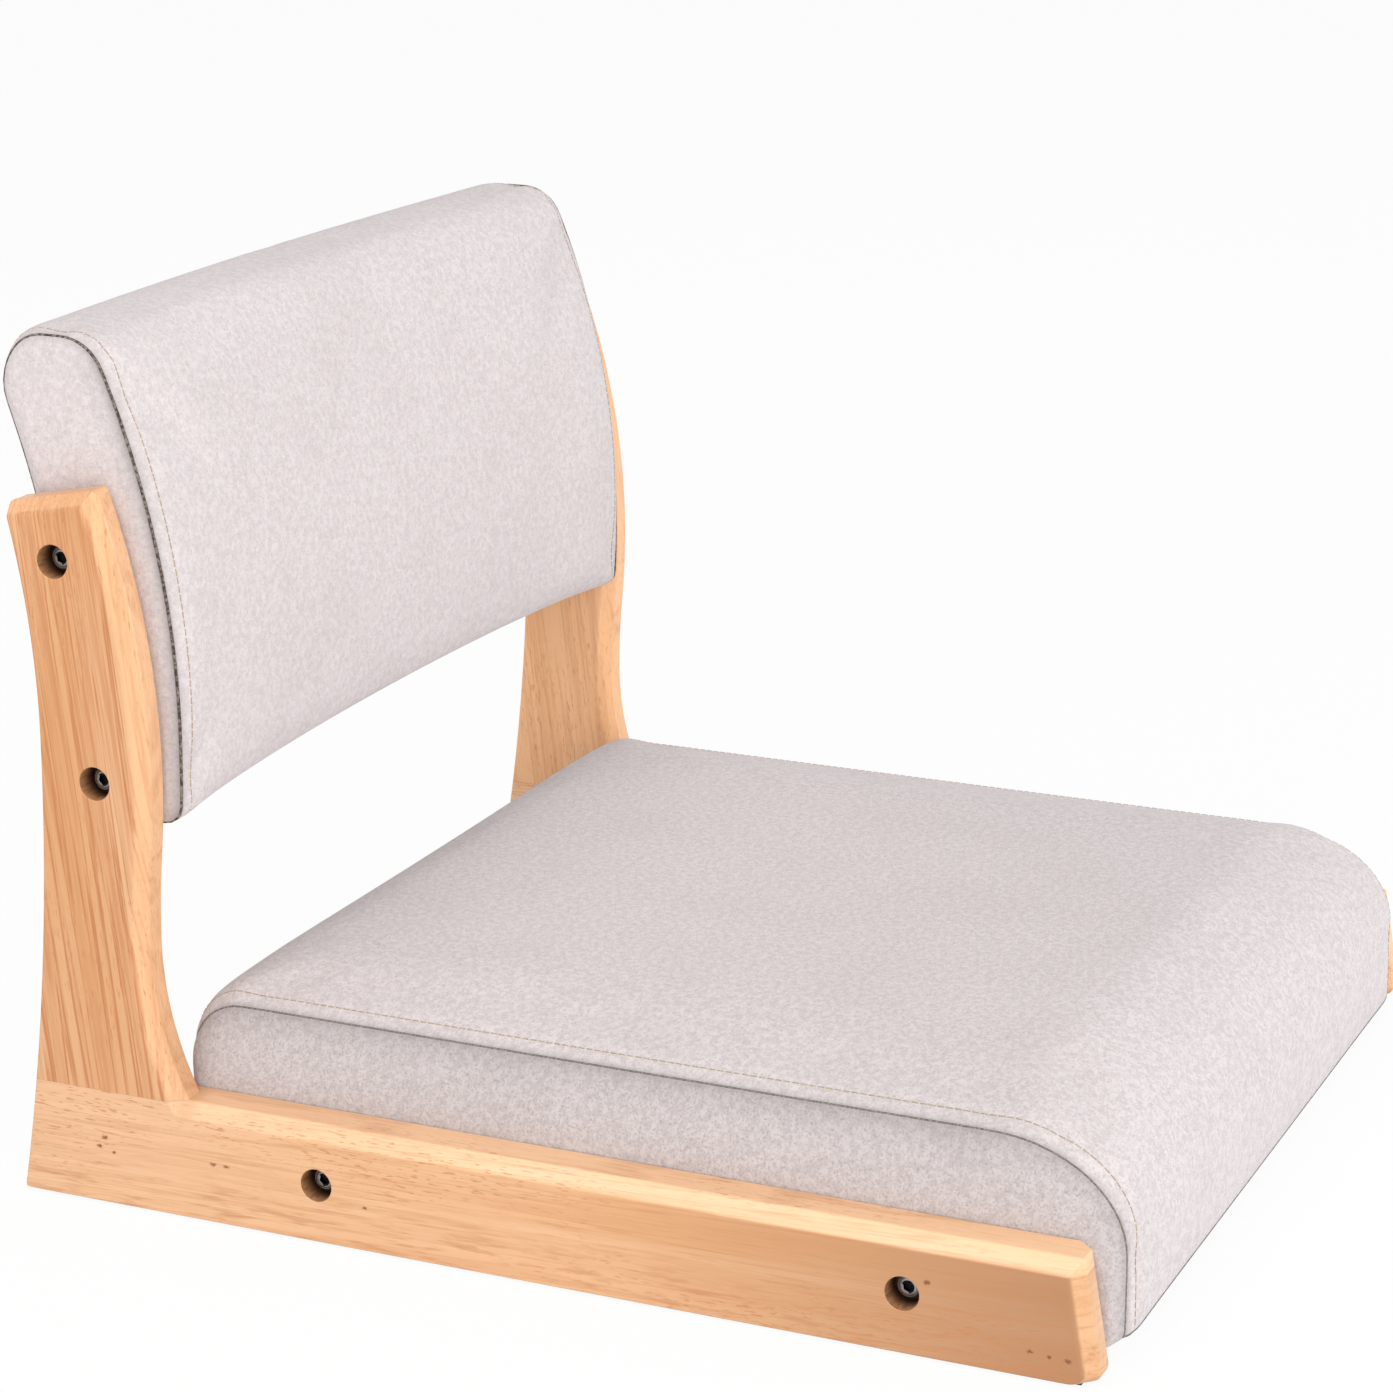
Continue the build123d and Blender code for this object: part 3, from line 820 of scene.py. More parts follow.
@dataclass
class SideFrame:
    """One glued side: a rail on the floor and a bowed upright on its rear end."""

    side: Side
    corner_round: float = 3.6 * MM
    edge_round: float = 0.9 * MM
    joint_round: float = 0.15 * MM
    rim_round: float = 0.5 * MM
    shortest_edge: float = 0.5 * MM
    bore_radius: float = 7.9 * MM
    bore_depth: float = 13.0 * MM
    rim_margin: float = 0.3 * MM
    joint_margin: float = 0.05 * MM
    bevel_steps: int = 4
    flat: float = math.radians(0.3)
    sharp: float = math.radians(22.0)
    smooth: float = math.radians(28.0)
    grain_apart: float = 0.37
    joint_forward: float = 90.0 * MM
    foot_height: float = 4.0 * MM
    corner_reach: float = 6.0 * MM
    top_height: float = 322.0 * MM
    bolts: tuple[Place, ...] = SEAT_BOLTS + BACK_BOLTS
    rail_pins: tuple[Place, ...] = RAIL_PINS
    # Painted light: the left frame's wood is 1.3 times lighter, as if lit more on the far side.
    painted_light_tones: dict[Side, float] = field(default_factory=lambda: {Side.RIGHT: 1.0, Side.LEFT: 1.3})

    def part_at_bolts(self, word: str) -> None:
        """Cuts the mesh in edit mode through its bolt holes, so that flat faces run round no hole.

        Args:
            word: rail or upright.
        """
        rail = word == "rail"
        normal = (0.0, 1.0, 0.0) if rail else (0.0, 0.0, 1.0)
        for place in SEAT_BOLTS if rail else BACK_BOLTS:
            bpy.ops.mesh.select_all(action="SELECT")
            bpy.ops.mesh.bisect(plane_co=in_space(0.0, place), plane_no=normal, threshold=WELD / 10)
            bpy.ops.mesh.mark_seam(clear=False)
        bpy.ops.mesh.select_all(action="SELECT")
        bpy.ops.mesh.dissolve_limited(angle_limit=self.flat, delimit={"SEAM"})
        bpy.ops.mesh.select_all(action="SELECT")
        bpy.ops.mesh.remove_doubles(threshold=self.shortest_edge)

    def on_joint(self, edge: bmesh.types.BMEdge) -> bool:
        """Whether an edge lies in the glued joint, where the two pieces were sanded flush."""
        level = all(abs(vert.co.z - RAIL_TOP) < self.joint_margin for vert in edge.verts)
        return level and all(vert.co.y > ORIGIN_FORWARD - self.joint_forward for vert in edge.verts)

    def on_bore(self, edge: bmesh.types.BMEdge) -> bool:
        """Whether an edge is the rim of a bolt hole."""
        reach = self.bore_radius + self.rim_margin
        return any(all(hypot_to(vert.co, place) < reach for vert in edge.verts) for place in self.bolts)

    def is_corner(self, edge: bmesh.types.BMEdge) -> bool:
        """Whether an edge crosses the piece at the rear foot or the upright's top, which are rounded.

        Args:
            edge: the edge of the wood.

        Returns:
            True for such an edge.
        """
        a, b = (vert.co for vert in edge.verts)
        along = (b - a).normalized()
        middle = (a + b) / 2
        foot = middle.z < self.foot_height and middle.y > ORIGIN_FORWARD - self.corner_reach
        return abs(along.x) > 0.9 and (foot or middle.z > self.top_height)

    def weigh_edges(self, piece: bpy.types.Object) -> None:
        """Marks how much of the largest round each outer edge gets.

        Args:
            piece: the merged copy of a wood node.
        """
        mesh = bmesh.new()
        mesh.from_mesh(piece.data)
        weights = mesh.edges.layers.float.new("bevel_weight_edge")
        for edge in mesh.edges:
            outer = len(edge.link_faces) == 2 and edge.is_convex and edge.calc_face_angle() > self.sharp
            if not outer:
                continue
            size = self.joint_round if self.on_joint(edge) else self.edge_round
            size = self.rim_round if self.on_bore(edge) else size
            edge[weights] = 1.0 if self.is_corner(edge) else size / self.corner_round
        mesh.to_mesh(piece.data)
        mesh.free()

    def rounded(self, node: bpy.types.Object, word: str) -> bpy.types.Object:
        """Copies a wood node's form and eases its edges as sandpaper does.

        Args:
            node: the CAD node.
            word: rail or upright.

        Returns:
            The finished piece.
        """
        piece = bpy.data.objects.new(f"{node.name}_wood", node.data.copy())
        bpy.context.scene.collection.objects.link(piece)
        activate(piece)
        bpy.ops.object.mode_set(mode="EDIT")
        bpy.ops.mesh.select_all(action="SELECT")
        bpy.ops.mesh.remove_doubles(threshold=WELD)
        self.part_at_bolts(word)
        bpy.ops.object.mode_set(mode="OBJECT")
        bpy.ops.mesh.customdata_custom_splitnormals_clear()
        self.weigh_edges(piece)
        bevel = piece.modifiers.new("edges", "BEVEL")
        bevel.limit_method = "WEIGHT"
        bevel.width = self.corner_round
        bevel.segments = self.bevel_steps
        bevel.use_clamp_overlap = False
        apply_modifiers(piece)
        bpy.ops.object.shade_smooth_by_angle(angle=self.smooth)
        flats = piece.modifiers.new("flats", "WEIGHTED_NORMAL")
        flats.keep_sharp = True
        apply_modifiers(piece)
        return piece

    def paint_bore_shade(self, piece: bpy.types.Object) -> None:
        """Gives the drilled bolt holes the piece's second material: end grain darkened towards the bottom by
        painted shade.

        Args:
            piece: the eased rail or upright.
        """
        outside = max(abs(vert.co.x) for vert in piece.data.vertices)
        for face in piece.data.polygons:
            deep = outside - self.bore_depth < abs(face.center.x) < outside - self.rim_round * 0.8
            near = [hypot_to(face.center, place) < self.bore_radius for place in self.bolts]
            face.material_index = 1 if deep and any(near) else 0

    def finishes(self) -> dict[str, WoodFinish]:
        """The wood of the rail and of the upright, each with a grain of its own.

        Returns:
            The two finishes, by the pieces' words.
        """
        offset = self.grain_apart * self.side.sign
        tone = self.painted_light_tones[self.side]
        rail = WoodFinish(
            f"{self.side.prefix}_rail_wood",
            Grain.LEVEL,
            shift=(offset, 0.21, 0.1),
            lean=math.radians(1.0),
            tone=tone,
            line_scale=260.0,
            line_depth=0.34,
            pore_depth=0.6,
            fleck_depth=0.5,
            pins=self.rail_pins,
            painted_light_depth=0.75,
            heart_depth=0.6,
        )
        upright = WoodFinish(
            f"{self.side.prefix}_upright_wood",
            Grain.STANDING,
            shift=(0.3 + offset, 0.05, 0.2),
            lean=math.radians(7.0),
            tone=tone,
            line_scale=140.0,
            line_depth=0.9,
            band_depth=0.75,
            inner_mute=0.6,
            painted_light_depth=0.5,
            light=(0.690, 0.394, 0.210, 1.0),
            warm=(0.620, 0.308, 0.134, 1.0),
        )
        return {"rail": rail, "upright": upright}

    def build(self, nodes: dict[str, bpy.types.Object]) -> list[bpy.types.Object]:
        """Builds and dresses the rail and the upright.

        Args:
            nodes: the CAD nodes by name.

        Returns:
            The two pieces.
        """
        bore = BoreFinish(f"{self.side.prefix}_bore_painted_shade").material()
        made = []
        for word, finish in self.finishes().items():
            node = f"{self.side.prefix}_{word}"
            piece = self.rounded(nodes[node], word)
            cover(piece, finish.material(), bore)
            self.paint_bore_shade(piece)
            enlist(piece, "frame_wood", node)
            made.append(piece)
        return made


@dataclass(frozen=True)
class Row:
    """One ring of a pad's mesh: how far across it is, and how it sits in the sewn form."""

    across: float
    station: float
    inset: float = 0.0
    tuck: float = 0.0
    shrink: float = 1.0
    pinned: bool = False


@dataclass
class Pad:
    """A sewn pad: one long middle panel round its outline and two side panels, joined at piped-in seams."""

    name: str
    seam_half: float
    side_half: float
    side_counts: tuple[int, int, int, int]
    corner_counts: tuple[int, int, int, int]
    nodes: tuple[str, ...]
    fill: float
    pinned_below: float
    crown_power: float = 6.0
    stitch_inset: float = 7.0 * MM
    roll_reach: float = 5.5 * MM
    slack: float = 1.6 * MM
    most_swell: float = 2.4 * MM
    seam_sink: float = 0.8 * MM
    column: float = 6.5 * MM
    seam_radius: float = 0.48 * MM
    stitch_radius: float = 0.33 * MM
    stitch_length: float = 2.7 * MM
    stitch_pitch: float = 3.9 * MM
    # How far the painted shade along the seams reaches and where it is strongest.
    shade_reach: float = 4.0 * MM
    shade_above: float = 1.0
    shade_least: float = 0.15
    shade_tuck: float = 6.0 * MM
    shade_roll: float = 3.0
    face_shrinks: tuple[float, ...] = (0.0, 0.45, 0.85, 1.0)
    side_turns: tuple[float, ...] = (0.84, 0.66, 0.48, 0.30, 0.14, 0.05)
    roll_insets: tuple[float, ...] = (1.4 * MM, 3.6 * MM)
    flat_insets: tuple[float, ...] = (10.5 * MM, 15.0 * MM, 20.0 * MM)
    fill_frames: int = 20

    def roll(self, row: Row) -> float:
        """How far the middle panel has rolled out over its seam at a row, from 0 to 1."""
        return 1.0 - math.exp(-row.inset / self.roll_reach)

    def depth(self, row: Row) -> float:
        """How far inside its finished form a row is sewn, before it is filled."""
        return self.slack * (1.0 - math.exp(-row.inset / (2 * self.roll_reach)))

    def sides(self, row: Row) -> tuple[list[Callable[[float], Place]], list[Place]]:
        """The outline's four sides at a row, as curves from 0 to 1, and the reaches of the round after each."""
        raise NotImplementedError

    def outline(self, row: Row) -> list[Place]:
        """Runs round the outline at a row, from the rear foot up the rear, over the top and down the front.

        Args:
            row: the row of the mesh.

        Returns:
            The places in order, without the closing one.
        """
        sides, radii = self.sides(row)
        starts = [0.0] * 4
        ends = [1.0] * 4
        step = 1e-4
        for index in range(4):
            here, after = sides[index], sides[(index + 1) % 4]
            come = (Vector(here(1.0)) - Vector(here(1.0 - step))).normalized()
            leave = (Vector(after(step)) - Vector(after(0.0))).normalized()
            cut = math.tan(come.angle(leave) / 2)
            ends[index] = 1.0 - radii[index][0] * cut / (Vector(here(1.0)) - Vector(here(0.0))).length
            starts[(index + 1) % 4] = radii[index][1] * cut / (Vector(after(1.0)) - Vector(after(0.0))).length
        places: list[Place] = []
        for index in range(4):
            here, after = sides[index], sides[(index + 1) % 4]
            count = self.side_counts[index]
            first, last, onward = starts[index], ends[index], starts[(index + 1) % 4]
            places += [here(first + (last - first) * k / count) for k in range(count)]
            come = (Vector(here(last)) - Vector(here(last - step))).normalized()
            leave = (Vector(after(onward + step)) - Vector(after(onward))).normalized()
            handle = 4 / 3 * math.tan(come.angle(leave) / 4)
            p0, p3 = Vector(here(last)), Vector(after(onward))
            p1, p2 = p0 + come * handle * radii[index][0], p3 - leave * handle * radii[index][1]
            count = self.corner_counts[index]
            for k in range(count):
                t = k / count
                point = p0 * (1 - t) ** 3 + p1 * 3 * t * (1 - t) ** 2 + p2 * 3 * t**2 * (1 - t) + p3 * t**3
                places.append((point.x, point.y))
        return places

    def rows(self) -> list[Row]:
        """Lays out the rows from one side face over its seam and the middle panel to the other side face.

        Returns:
            The rows in order across the pad.
        """
        face = Row(self.side_half, 1.0, tuck=1.0, pinned=True)
        half = [replace(face, shrink=shrink) for shrink in self.face_shrinks]
        for turn in self.side_turns:
            across = self.seam_half + (self.side_half - self.seam_half) * math.sin(turn * math.pi / 2)
            half.append(Row(across, 1.0, tuck=turn))
        half.append(Row(self.seam_half, 1.0, pinned=True))
        insets = [*self.roll_insets, self.stitch_inset, *self.flat_insets]
        columns = round((self.seam_half - insets[-1]) / self.column)
        spread = [insets[-1] + (self.seam_half - insets[-1]) * k / columns for k in range(1, columns + 1)]
        for inset in insets + spread:
            across = self.seam_half - inset
            half.append(Row(across, across / self.seam_half, inset))
        mirrored = [replace(row, across=-row.across, station=-row.station) for row in half[:-1]]
        return mirrored + half[::-1]

    def bow(self, height: float) -> float:
        """How far forward the pad bends at a height; not at all unless a pad is bowed."""
        return 0.0

    def ring(self, row: Row) -> list[Vector]:
        """The points in space of a row.

        Args:
            row: the row of the mesh.

        Returns:
            Its points in order.
        """
        places = [Vector((forward - self.bow(height), height)) for forward, height in self.outline(row)]
        middle = sum(places, Vector((0.0, 0.0))) / len(places)
        drawn_in = [middle + (place - middle) * row.shrink for place in places]
        return [in_space(row.across, (place.x + self.bow(place.y), place.y)) for place in drawn_in]

    def sew(self) -> tuple[bpy.types.Object, list[Row], list[list[Vector]]]:
        """Bends a grid round the sewn form and closes it.

        Returns:
            The closed pad, its rows and the points of each row.
        """
        rows = self.rows()
        rings = [self.ring(row) for row in rows]
        around = len(rings[0])
        deselect_all()
        bpy.ops.mesh.primitive_grid_add(x_subdivisions=len(rows) - 1, y_subdivisions=around, size=2.0)
        pad = bpy.context.object
        pad.name = self.name
        for vert in pad.data.vertices:
            r = round((vert.co.x + 1) / 2 * (len(rows) - 1))
            k = round((vert.co.y + 1) / 2 * around) % around
            vert.co = rings[r][k]
        bpy.ops.object.mode_set(mode="EDIT")
        bpy.ops.mesh.select_all(action="SELECT")
        bpy.ops.mesh.remove_doubles(threshold=WELD)
        bpy.ops.mesh.normals_make_consistent(inside=False)
        bpy.ops.object.mode_set(mode="OBJECT")
        return pad, rows, rings

    def lookup(self, pad: bpy.types.Object, rings: list[list[Vector]]) -> list[list[int]]:
        """The pad's vertex numbers along each row, found by their sewn places.

        Args:
            pad: the sewn pad.
            rings: the points of each row.

        Returns:
            The numbers of each row.
        """
        tree = KDTree(len(pad.data.vertices))
        for vert in pad.data.vertices:
            tree.insert(vert.co, vert.index)
        tree.balance()
        return [[tree.find(point)[1] for point in ring] for ring in rings]

    def swell(self, pad: bpy.types.Object, held: list[int]) -> None:
        """Blows the pad up from inside with its seams held, and keeps the movement short.

        Args:
            pad: the sewn pad.
            held: numbers of the vertices that don't move.
        """
        scene = bpy.context.scene
        sewn = [vert.co.copy() for vert in pad.data.vertices]
        group = pad.vertex_groups.new(name="held")
        group.add(held, 1.0, "REPLACE")
        activate(pad)
        bpy.ops.object.modifier_add(type="CLOTH")
        cloth = pad.modifiers[-1]
        for key, value in CLOTH_SETTINGS.items():
            setattr(cloth.settings, key, value)
        cloth.settings.effector_weights.gravity = 0.0
        cloth.settings.vertex_group_mass = group.name
        cloth.collision_settings.use_collision = False
        cloth.collision_settings.use_self_collision = False
        for frame in range(1, self.fill_frames + 1):
            scene.frame_set(frame)
        bpy.ops.object.modifier_apply(modifier=cloth.name)
        scene.frame_set(1)
        for vert, start in zip(pad.data.vertices, sewn):
            move = vert.co - start
            if move.length > 1e-9:
                reach = self.most_swell * math.tanh(move.length / self.most_swell)
                vert.co = start + move.normalized() * reach
        pad.vertex_groups.clear()

    def keep_clear(self, pad: bpy.types.Object) -> None:
        """Holds the swollen side panels off the wood."""
        for vert in pad.data.vertices:
            vert.co.x = max(-self.side_half, min(self.side_half, vert.co.x))

    def paint_fold_shade(self, pad: bpy.types.Object, rows: list[Row], numbers: list[list[int]]) -> None:
        """Notes how deep in a seam's fold each vertex lies, most at the top and front, as the amount of painted
        shade on the cloth.

        Args:
            pad: the filled pad.
            rows: its rows.
            numbers: the vertex numbers of each row.
        """
        fold = pad.data.attributes.new("fold", "FLOAT", "POINT")
        seam = {row.across > 0: k for k, row in enumerate(rows) if row.pinned and row.tuck == 0.0}
        for row, ring in zip(rows, numbers):
            beside = abs(row.across) - self.seam_half
            away = beside + self.shade_tuck * row.tuck if row.tuck else self.shade_roll * row.inset
            amount = math.exp(-away / self.shade_reach) if row.shrink > 0.9 else 0.0
            for n, edge in zip(ring, numbers[seam[row.across > 0]]):
                # Painted shade is strongest where the seam faces forward or up.
                normal = pad.data.vertices[edge].normal
                facing = self.shade_least + max(0.0, -normal.y, normal.z * self.shade_above)
                fold.data[n].value = max(fold.data[n].value, amount * min(1.0, facing))

    def hem(self, rows: list[Row]) -> list[int]:
        """Which point of each row a dark cord of painted shadow runs through; none unless a pad has one."""
        return []

    def run(self, path: list[Vector], name: str, closed: bool = True) -> bpy.types.Object:
        """A line through points, to sweep or bend thread along.

        Args:
            path: the points that the line passes.
            name: the line's name.
            closed: whether it comes back to its start.

        Returns:
            The curve's object.
        """
        line = bpy.data.curves.new(name, "CURVE")
        line.dimensions = "3D"
        spline = line.splines.new("POLY")
        spline.points.add(len(path) - 1)
        for point, place in zip(spline.points, path):
            point.co = (*place, 1.0)
        spline.use_cyclic_u = closed
        run = bpy.data.objects.new(name, line)
        bpy.context.scene.collection.objects.link(run)
        return run

    def seam_cord(self, path: list[Vector], name: str, closed: bool = True) -> bpy.types.Object:
        """The dark seam line: a thin cord in the fold between two panels, dark for its thread and for painted
        shade of the fold.

        Args:
            path: the points that the cord follows.
            name: the cord's name.
            closed: whether it comes back to its start.

        Returns:
            The cord as a mesh.
        """
        cord = self.run(path, name, closed)
        cord.data.bevel_depth = self.seam_radius
        cord.data.bevel_resolution = 1
        cord.data.use_fill_caps = True
        activate(cord)
        bpy.ops.object.convert(target="MESH")
        bpy.ops.object.shade_smooth()
        return bpy.context.object

    def stitch(self) -> bpy.types.Object:
        """One stitch: a short rounded length of thread along X.

        Returns:
            The stitch, its middle at the origin.
        """
        stitch = cylinder(6, self.stitch_radius, self.stitch_length)
        stitch.rotation_euler.y = math.pi / 2
        settle(stitch)
        pick_faces(stitch, lambda face: abs(face.normal.x) > 0.9)
        bpy.ops.mesh.inset(thickness=self.stitch_radius * 0.45, depth=self.stitch_radius * 0.7)
        bpy.ops.object.mode_set(mode="OBJECT")
        return stitch

    def topstitch(self, path: list[Vector], name: str) -> bpy.types.Object:
        """A row of stitches along a closed path.

        Args:
            path: the points that the stitches follow.
            name: the name of the row.

        Returns:
            The row as one mesh.
        """
        length = sum((b - a).length for a, b in zip(path, path[1:] + path[:1]))
        line = self.run(path, f"{name}_line")
        row = self.stitch()
        row.name = name
        repeat = row.modifiers.new("repeat", "ARRAY")
        repeat.fit_type = "FIXED_COUNT"
        repeat.count = int(length / self.stitch_pitch)
        repeat.use_relative_offset = False
        repeat.use_constant_offset = True
        repeat.constant_offset_displace = (length / repeat.count, 0.0, 0.0)
        bend = row.modifiers.new("follow", "CURVE")
        bend.object = line
        bend.deform_axis = "POS_X"
        apply_modifiers(row)
        bpy.data.objects.remove(line)
        activate(row)
        bpy.ops.object.shade_smooth()
        return row

    def build(
        self,
        cloth: bpy.types.Material,
        side_cloth: bpy.types.Material,
        cord: bpy.types.Material,
        thread: bpy.types.Material,
    ) -> list[bpy.types.Object]:
        """Sews, fills and dresses the pad.

        Args:
            cloth: the middle panel's material.
            side_cloth: the side panels' material.
            cord: the dark seam's material.
            thread: the topstitch's material.

        Returns:
            The pad, its seam lines and its topstitching.
        """
        pad, rows, rings = self.sew()
        numbers = self.lookup(pad, rings)
        held = {n for row, ring in zip(rows, numbers) if row.pinned for n in ring}
        held |= {vert.index for vert in pad.data.vertices if vert.co.z < self.pinned_below}
        seams = [k for k, row in enumerate(rows) if row.pinned and row.tuck == 0.0]
        stitched = [k for k, row in enumerate(rows) if row.inset == self.stitch_inset]
        self.swell(pad, sorted(held))
        normals = [vert.normal.copy() for vert in pad.data.vertices]
        for sewn, depth in ((seams, self.seam_sink), (stitched, self.stitch_radius)):
            for n in (n for k in sewn for n in numbers[k]):
                pad.data.vertices[n].co -= normals[n] * depth
        self.keep_clear(pad)
        self.paint_fold_shade(pad, rows, numbers)
        smooth = pad.modifiers.new("smooth", "SUBSURF")
        smooth.levels = 1
        smooth.render_levels = 1
        apply_modifiers(pad)
        bpy.ops.object.shade_smooth()
        # The side panels get their darker or lighter copy of the cloth: painted shade and light.
        cover(pad, cloth, side_cloth)
        for face in pad.data.polygons:
            face.material_index = 1 if abs(face.center.x) > self.seam_half else 0
        enlist(pad, "upholstery", *self.nodes)

        def path(ring: list[int]) -> list[Vector]:
            """The places of numbered vertices."""
            return [pad.data.vertices[n].co.copy() for n in ring]

        lines = [self.seam_cord(path(numbers[k]), f"{self.name}_seam_{k}") for k in seams]
        stitches = [self.topstitch(path(numbers[k]), f"{self.name}_stitch_{k}") for k in stitched]
        # Painted shadow: a dark cord along the seat's front bottom edge.
        shadow_cord_places = [numbers[r][k] for r, k in enumerate(self.hem(rows)) if not rows[r].tuck]
        if shadow_cord_places:
            lines.append(self.seam_cord(path(shadow_cord_places), f"{self.name}_hem", False))
        seam = join(lines, f"{self.name}_seams")
        topstitch = join(stitches, f"{self.name}_topstitch")
        for piece, material in ((seam, cord), (topstitch, thread)):
            cover(piece, material)
            enlist(piece, "upholstery")
        return [pad, seam, topstitch]


@dataclass
class SeatPad(Pad):
    """The seat: flat underneath, crowned on top, with a deep round over its front edge."""

    rear: float = 72.3 * MM
    front: float = 520.0 * MM
    bottom: float = 8.0 * MM
    top: float = 93.5 * MM
    crown: float = 5.5 * MM
    roll_top: float = 7.0 * MM
    roll_ends: float = 4.0 * MM
    undercut: float = 8.5 * MM
    undercut_height: float = 66.0 * MM
    undercut_reach: float = 15.0 * MM
    front_run: float = 62.0 * MM
    front_drop: float = 48.0 * MM
    rear_round: float = 26.0 * MM
    foot_round: float = 4.0 * MM
    tuck_ends: float = 5.0 * MM
    tuck_shrink: float = 0.35
    tuck_rear: float = 0.25

    def sides(self, row: Row) -> tuple[list[Callable[[float], Place]], list[Place]]:
        """The rear, top, front and bottom lines at a row, and the round after each.

        Args:
            row: the row of the mesh.

        Returns:
            The four sides and the rounds after them.
        """
        rise = 1.0 - abs(row.station) ** self.crown_power
        ends = self.roll_ends * self.roll(row) - self.depth(row) - self.tuck_ends * row.tuck
        rear, front = self.rear - ends, self.front + ends
        top = self.top + self.crown * rise + self.roll_top * self.roll(row)
        top -= self.depth(row) + (self.top - RAIL_TOP) * row.tuck
        corners = [(rear, self.bottom), (rear, top), (front, top), (front, self.bottom)]

        def line(k: int) -> Callable[[float], Place]:
            """The straight side from corner k to the next."""
            a, b = Vector(corners[k]), Vector(corners[(k + 1) % 4])
            return lambda t: tuple(a.lerp(b, t)) if 0 <= t <= 1 else tuple(a + (b - a) * t)

        def nose(t: float) -> Place:
            """The rear from the bottom up: it is drawn in under the rounded rear edge.

            Args:
                t: the fraction of the way up.

            Returns:
                The place in side view.
            """
            height = self.bottom + (top - self.bottom) * t
            under = max(0.0, self.undercut_height - height) / self.undercut_reach
            return rear + self.undercut * (1.0 - row.tuck) * (1.0 - math.exp(-(under**2))), height

        corners[0] = nose(0.0)
        shrink = 1.0 - self.tuck_shrink * row.tuck
        rear_round = self.rear_round * (1.0 - self.tuck_rear * row.tuck)
        front_round = (self.front_run * shrink, self.front_drop * shrink)
        foot = (self.foot_round, self.foot_round)
        return [nose, line(1), line(2), line(3)], [(rear_round, rear_round), front_round, foot, foot]

    def hem(self, rows: list[Row]) -> list[int]:
        """A dark cord under the front edge: a painted shadow line where the cover meets the dust cover."""
        return [sum(self.side_counts[:3]) + sum(self.corner_counts[:2]) + 1] * len(rows)


@dataclass
class BackPad(Pad):
    """The back: it follows the uprights' bow and is hollowed across for the sitter's back."""

    bottom: float = 179.5 * MM
    top: float = 398.3 * MM
    thickness: float = 56.5 * MM
    hollow: float = 11.0 * MM
    roll_top: float = 3.8 * MM
    roll_rear: float = 4.0 * MM
    roll_front_low: float = 4.5 * MM
    roll_front_high: float = 9.0 * MM
    front_round: float = 23.0 * MM
    rear_round: float = 20.5 * MM
    foot_round: float = 9.0 * MM
    tuck_inset: float = 7.0 * MM
    tuck_shrink: float = 0.3

    def bow(self, height: float) -> float:
        """The uprights' bow at a height."""
        return rear_edge(height)

    def sides(self, row: Row) -> tuple[list[Callable[[float], Place]], list[Place]]:
        """The bowed rear, the top, the bowed front and the bottom at a row, and the round after each.

        Args:
            row: the row of the mesh.

        Returns:
            The four sides and the rounds after them.
        """
        roll = self.roll(row)
        shift = -self.hollow * (1 - row.station**2)
        inset = self.depth(row) + self.tuck_inset * row.tuck
        low = self.bottom + inset
        high = self.top + self.roll_top * roll - inset
        rear = shift - self.roll_rear * roll + inset
        reach = shift + self.thickness - inset
        gain = (self.roll_front_high - self.roll_front_low) * roll

        def front(height: float) -> float:
            """How far the front stands off the bowed line: it rolls out more near the top."""
            return reach + self.roll_front_low * roll + gain * (height - low) / (high - low)

        def level(height: float, start: float, end: float) -> Callable[[float], Place]:
            """A level side at a height, between two reaches from the bowed line."""
            edge = rear_edge(height)
            return lambda t: (edge + start + (end - start) * t, height)

        def bowed(stand: Callable[[float], float], start: float, end: float) -> Callable[[float], Place]:
            """A side that follows the bowed line at a distance, between two heights.

            Args:
                stand: how far it stands off the bowed line at a height.
                start: the height of its start.
                end: the height of its end.

            Returns:
                The side as a curve from 0 to 1.
            """

            def place(t: float) -> Place:
                """The place at a fraction of the way."""
                height = start + (end - start) * t
                return rear_edge(height) + stand(height), height

            return place

        sides = [
            bowed(lambda height: rear, low, high),
            level(high, rear, front(high)),
            bowed(front, high, low),
            level(low, front(low), rear),
        ]
        rounds = (self.rear_round, self.front_round, self.foot_round, self.foot_round)
        shrink = 1.0 - self.tuck_shrink * row.tuck
        return sides, [(size * shrink, size * shrink) for size in rounds]


